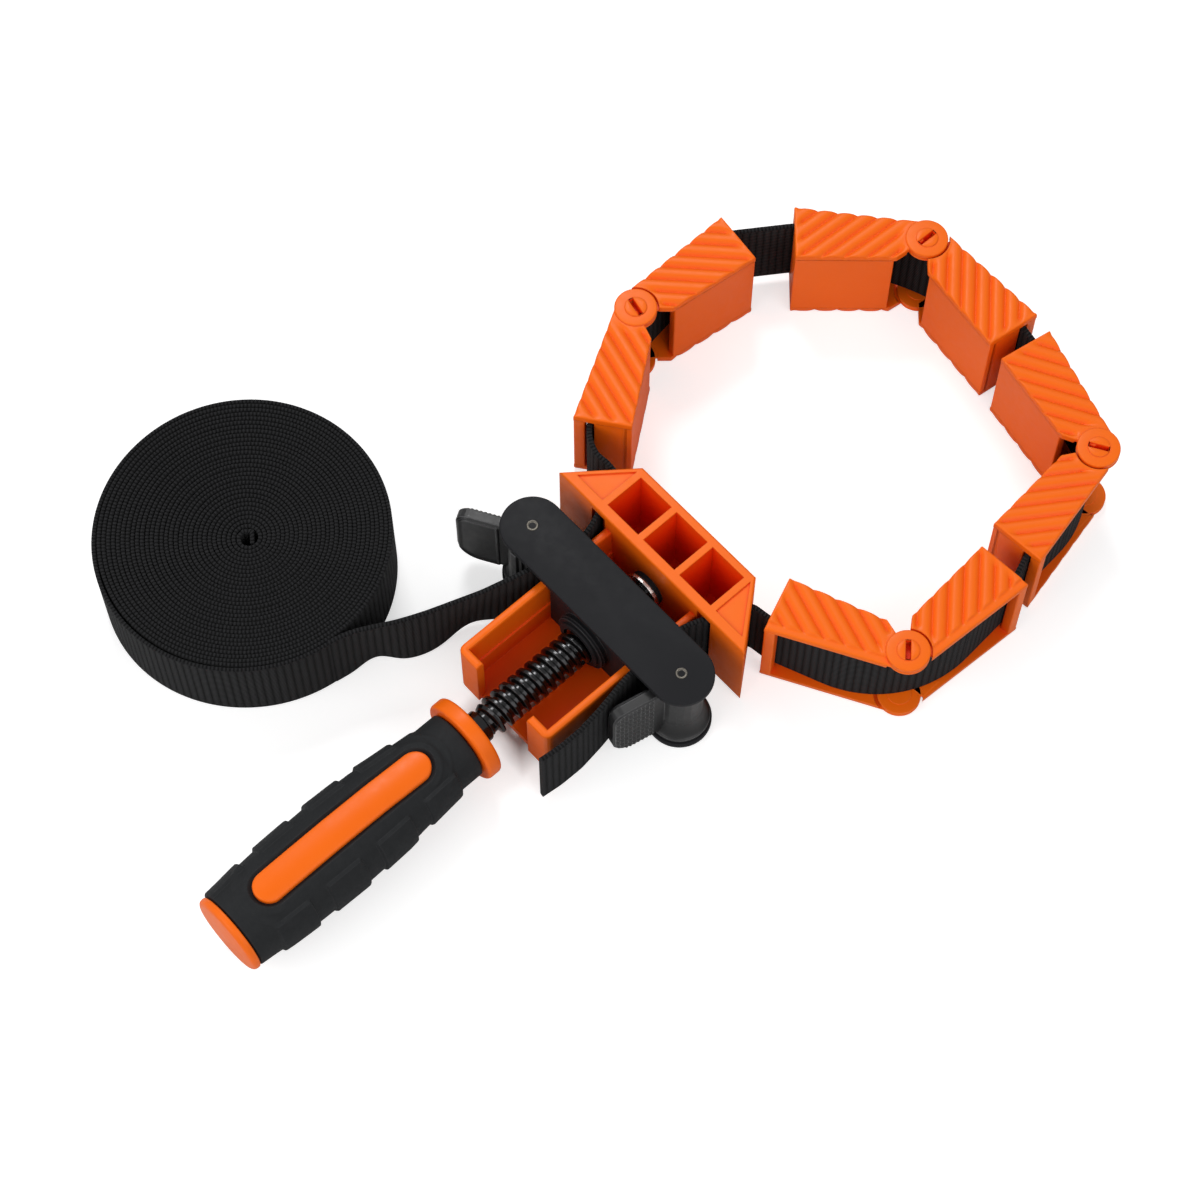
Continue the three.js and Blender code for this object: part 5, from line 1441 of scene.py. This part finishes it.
@dataclass
class Studio:
    """A pale floor, soft light and the photograph's camera, in metres and watts."""

    place: tuple[float, float, float] = (0.26, -0.25745, 0.784)
    elevation: float = 64.89
    azimuth: float = -47.54
    roll: float = 0.11
    lens: float = 95.25
    lamps: tuple[tuple[str, tuple[float, float, float], float, float], ...] = (
        ("key", (-0.75, 0.45, 1.15), 0.4, 8.0), ("fill", (0.95, -0.15, 0.9), 1.1, 5.8),
        ("front", (-0.2, -1.0, 0.75), 0.9, 5.9))
    world_light: float = 0.34
    world_gloss: float = 0.45
    floor_half: float = 3.0
    floor_z: float = -0.0002
    floor_grey: Colour = (0.72, 0.72, 0.72)
    floor_shine: float = 0.58
    # A painted shadow: the rectangle under the channel where the table's camera-ray glow is held off.
    shadow_patch_half_width: tuple[float, float] = (0.006, 0.014)
    shadow_patch_half_length: tuple[float, float] = (0.024, 0.03)
    shadow_patch_middle: float = -0.03

    def camera(self) -> None:
        """Puts the camera where the photograph's edges say that it stood."""
        th, ps = math.radians(self.elevation), math.radians(self.azimuth)
        forward = Vector((math.sin(ps) * math.cos(th), math.cos(ps) * math.cos(th), -math.sin(th)))
        right = forward.cross(Vector((0, 0, 1))).normalized()
        turn = Matrix((right, right.cross(forward), -forward)).transposed().to_4x4()
        data = bpy.data.cameras.new("camera")
        data.lens, data.sensor_width = self.lens, 36.0
        data.clip_start, data.clip_end = 0.05, 20.0
        camera = show("camera", data)
        camera.matrix_world = (Matrix.Translation(Vector(self.place)) @ turn
                               @ Matrix.Rotation(math.radians(self.roll), 4, "Z"))
        bpy.context.scene.camera = camera

    def light(self) -> None:
        """Broad soft lamps over the table and an even world, which is white where the camera sees it."""
        for name, place, size, power in self.lamps:
            data = bpy.data.lights.new(name, "AREA")
            data.size, data.energy = size, power
            lamp = show(name, data)
            lamp.location = place
            lamp.rotation_euler = (-Vector(place)).to_track_quat("-Z", "Y").to_euler()
        world = bpy.data.worlds.new("studio")
        world.use_nodes = True
        n = Nodes(world.node_tree)
        path = n.new("ShaderNodeLightPath").outputs
        glossy = n.math("MULTIPLY", path["Is Glossy Ray"], self.world_gloss)
        seen = n.math("MAXIMUM", path["Is Camera Ray"], glossy)
        n.fill(n.tree.nodes["Background"], Color=(1, 1, 1),
               Strength=n.ramp(seen, 0.0, 1.0, self.world_light, 1.0))
        bpy.context.scene.world = world
        bpy.context.scene.view_settings.view_transform = "Standard"

    def floor(self) -> None:
        """A pale table that keeps the clamp's shadow; under the channel its camera-ray glow is held off, a
        painted shadow where the slot shows the table.
        """
        mesh = bpy.data.meshes.new("table")
        corners = [(x * self.floor_half, y * self.floor_half, self.floor_z)
                   for x, y in ((-1, -1), (1, -1), (1, 1), (-1, 1))]
        mesh.from_pydata(corners, [], [(0, 1, 2, 3)])
        material, n, shader = principled("table_top")
        place = n.new("ShaderNodeSeparateXYZ", Vector=n.place()).outputs
        # Painted shadow: no camera-ray glow inside the rectangle under the channel.
        beside = n.ramp(n.math("ABSOLUTE", place[0]), *self.shadow_patch_half_width)
        from_middle = n.math("ABSOLUTE", n.math("SUBTRACT", place[1], self.shadow_patch_middle))
        behind = n.ramp(from_middle, *self.shadow_patch_half_length)
        seen = n.math("MULTIPLY", n.new("ShaderNodeLightPath").outputs["Is Camera Ray"],
                      n.math("MULTIPLY", n.math("MAXIMUM", beside, behind), self.floor_shine))
        n.fill(shader, Base_Color=self.floor_grey, Emission_Color=(1, 1, 1), Emission_Strength=seen,
               Roughness=0.9, Specular_IOR_Level=0.1)
        mesh.materials.append(material)
        show("table", mesh)

    def build(self) -> None:
        """Makes the camera, the lamps and the table."""
        self.camera()
        self.light()
        self.floor()


LOOKS = {
    "body_frame": "orange_plastic", "nut_block": "black_plastic", "left_cam_lever": "lever_plastic",
    "right_cam_lever": "lever_plastic", "thrust_collar": "black_plastic", "thrust_washer": "bright_steel",
    "retaining_clip": "bright_steel",
}


def main() -> None:
    """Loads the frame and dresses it."""
    logging.basicConfig(level=logging.INFO, format="%(name)s: %(message)s")
    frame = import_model()
    Studio().build()
    effects = Effects()
    finishes = {finish.name: finish.build(effects) for finish in FINISHES}
    arms = read_arms(frame["record"])
    StrapLoop(Strap(WebbingFinish().build(effects)), arms).build()
    for arm in arms.values():
        CornerJaw(arm, finishes["orange_plastic"]).build()
    log.info("jaws: %d arms", len(arms))
    Handle(finishes["orange_plastic"], finishes["grip_rubber"]).build()
    Screw(finishes["black_steel"]).build()
    Carriage(finishes["black_plastic"], finishes["lever_plastic"], finishes["lit_knurled_plastic"],
             finishes["rivet_steel"]).build()
    for node, finish in LOOKS.items():
        materials = frame["nodes"][node].data.materials
        materials.clear()
        materials.append(finishes[finish])
        log.info("%s: %s", node, finish)


if __name__ == "__main__":
    main()
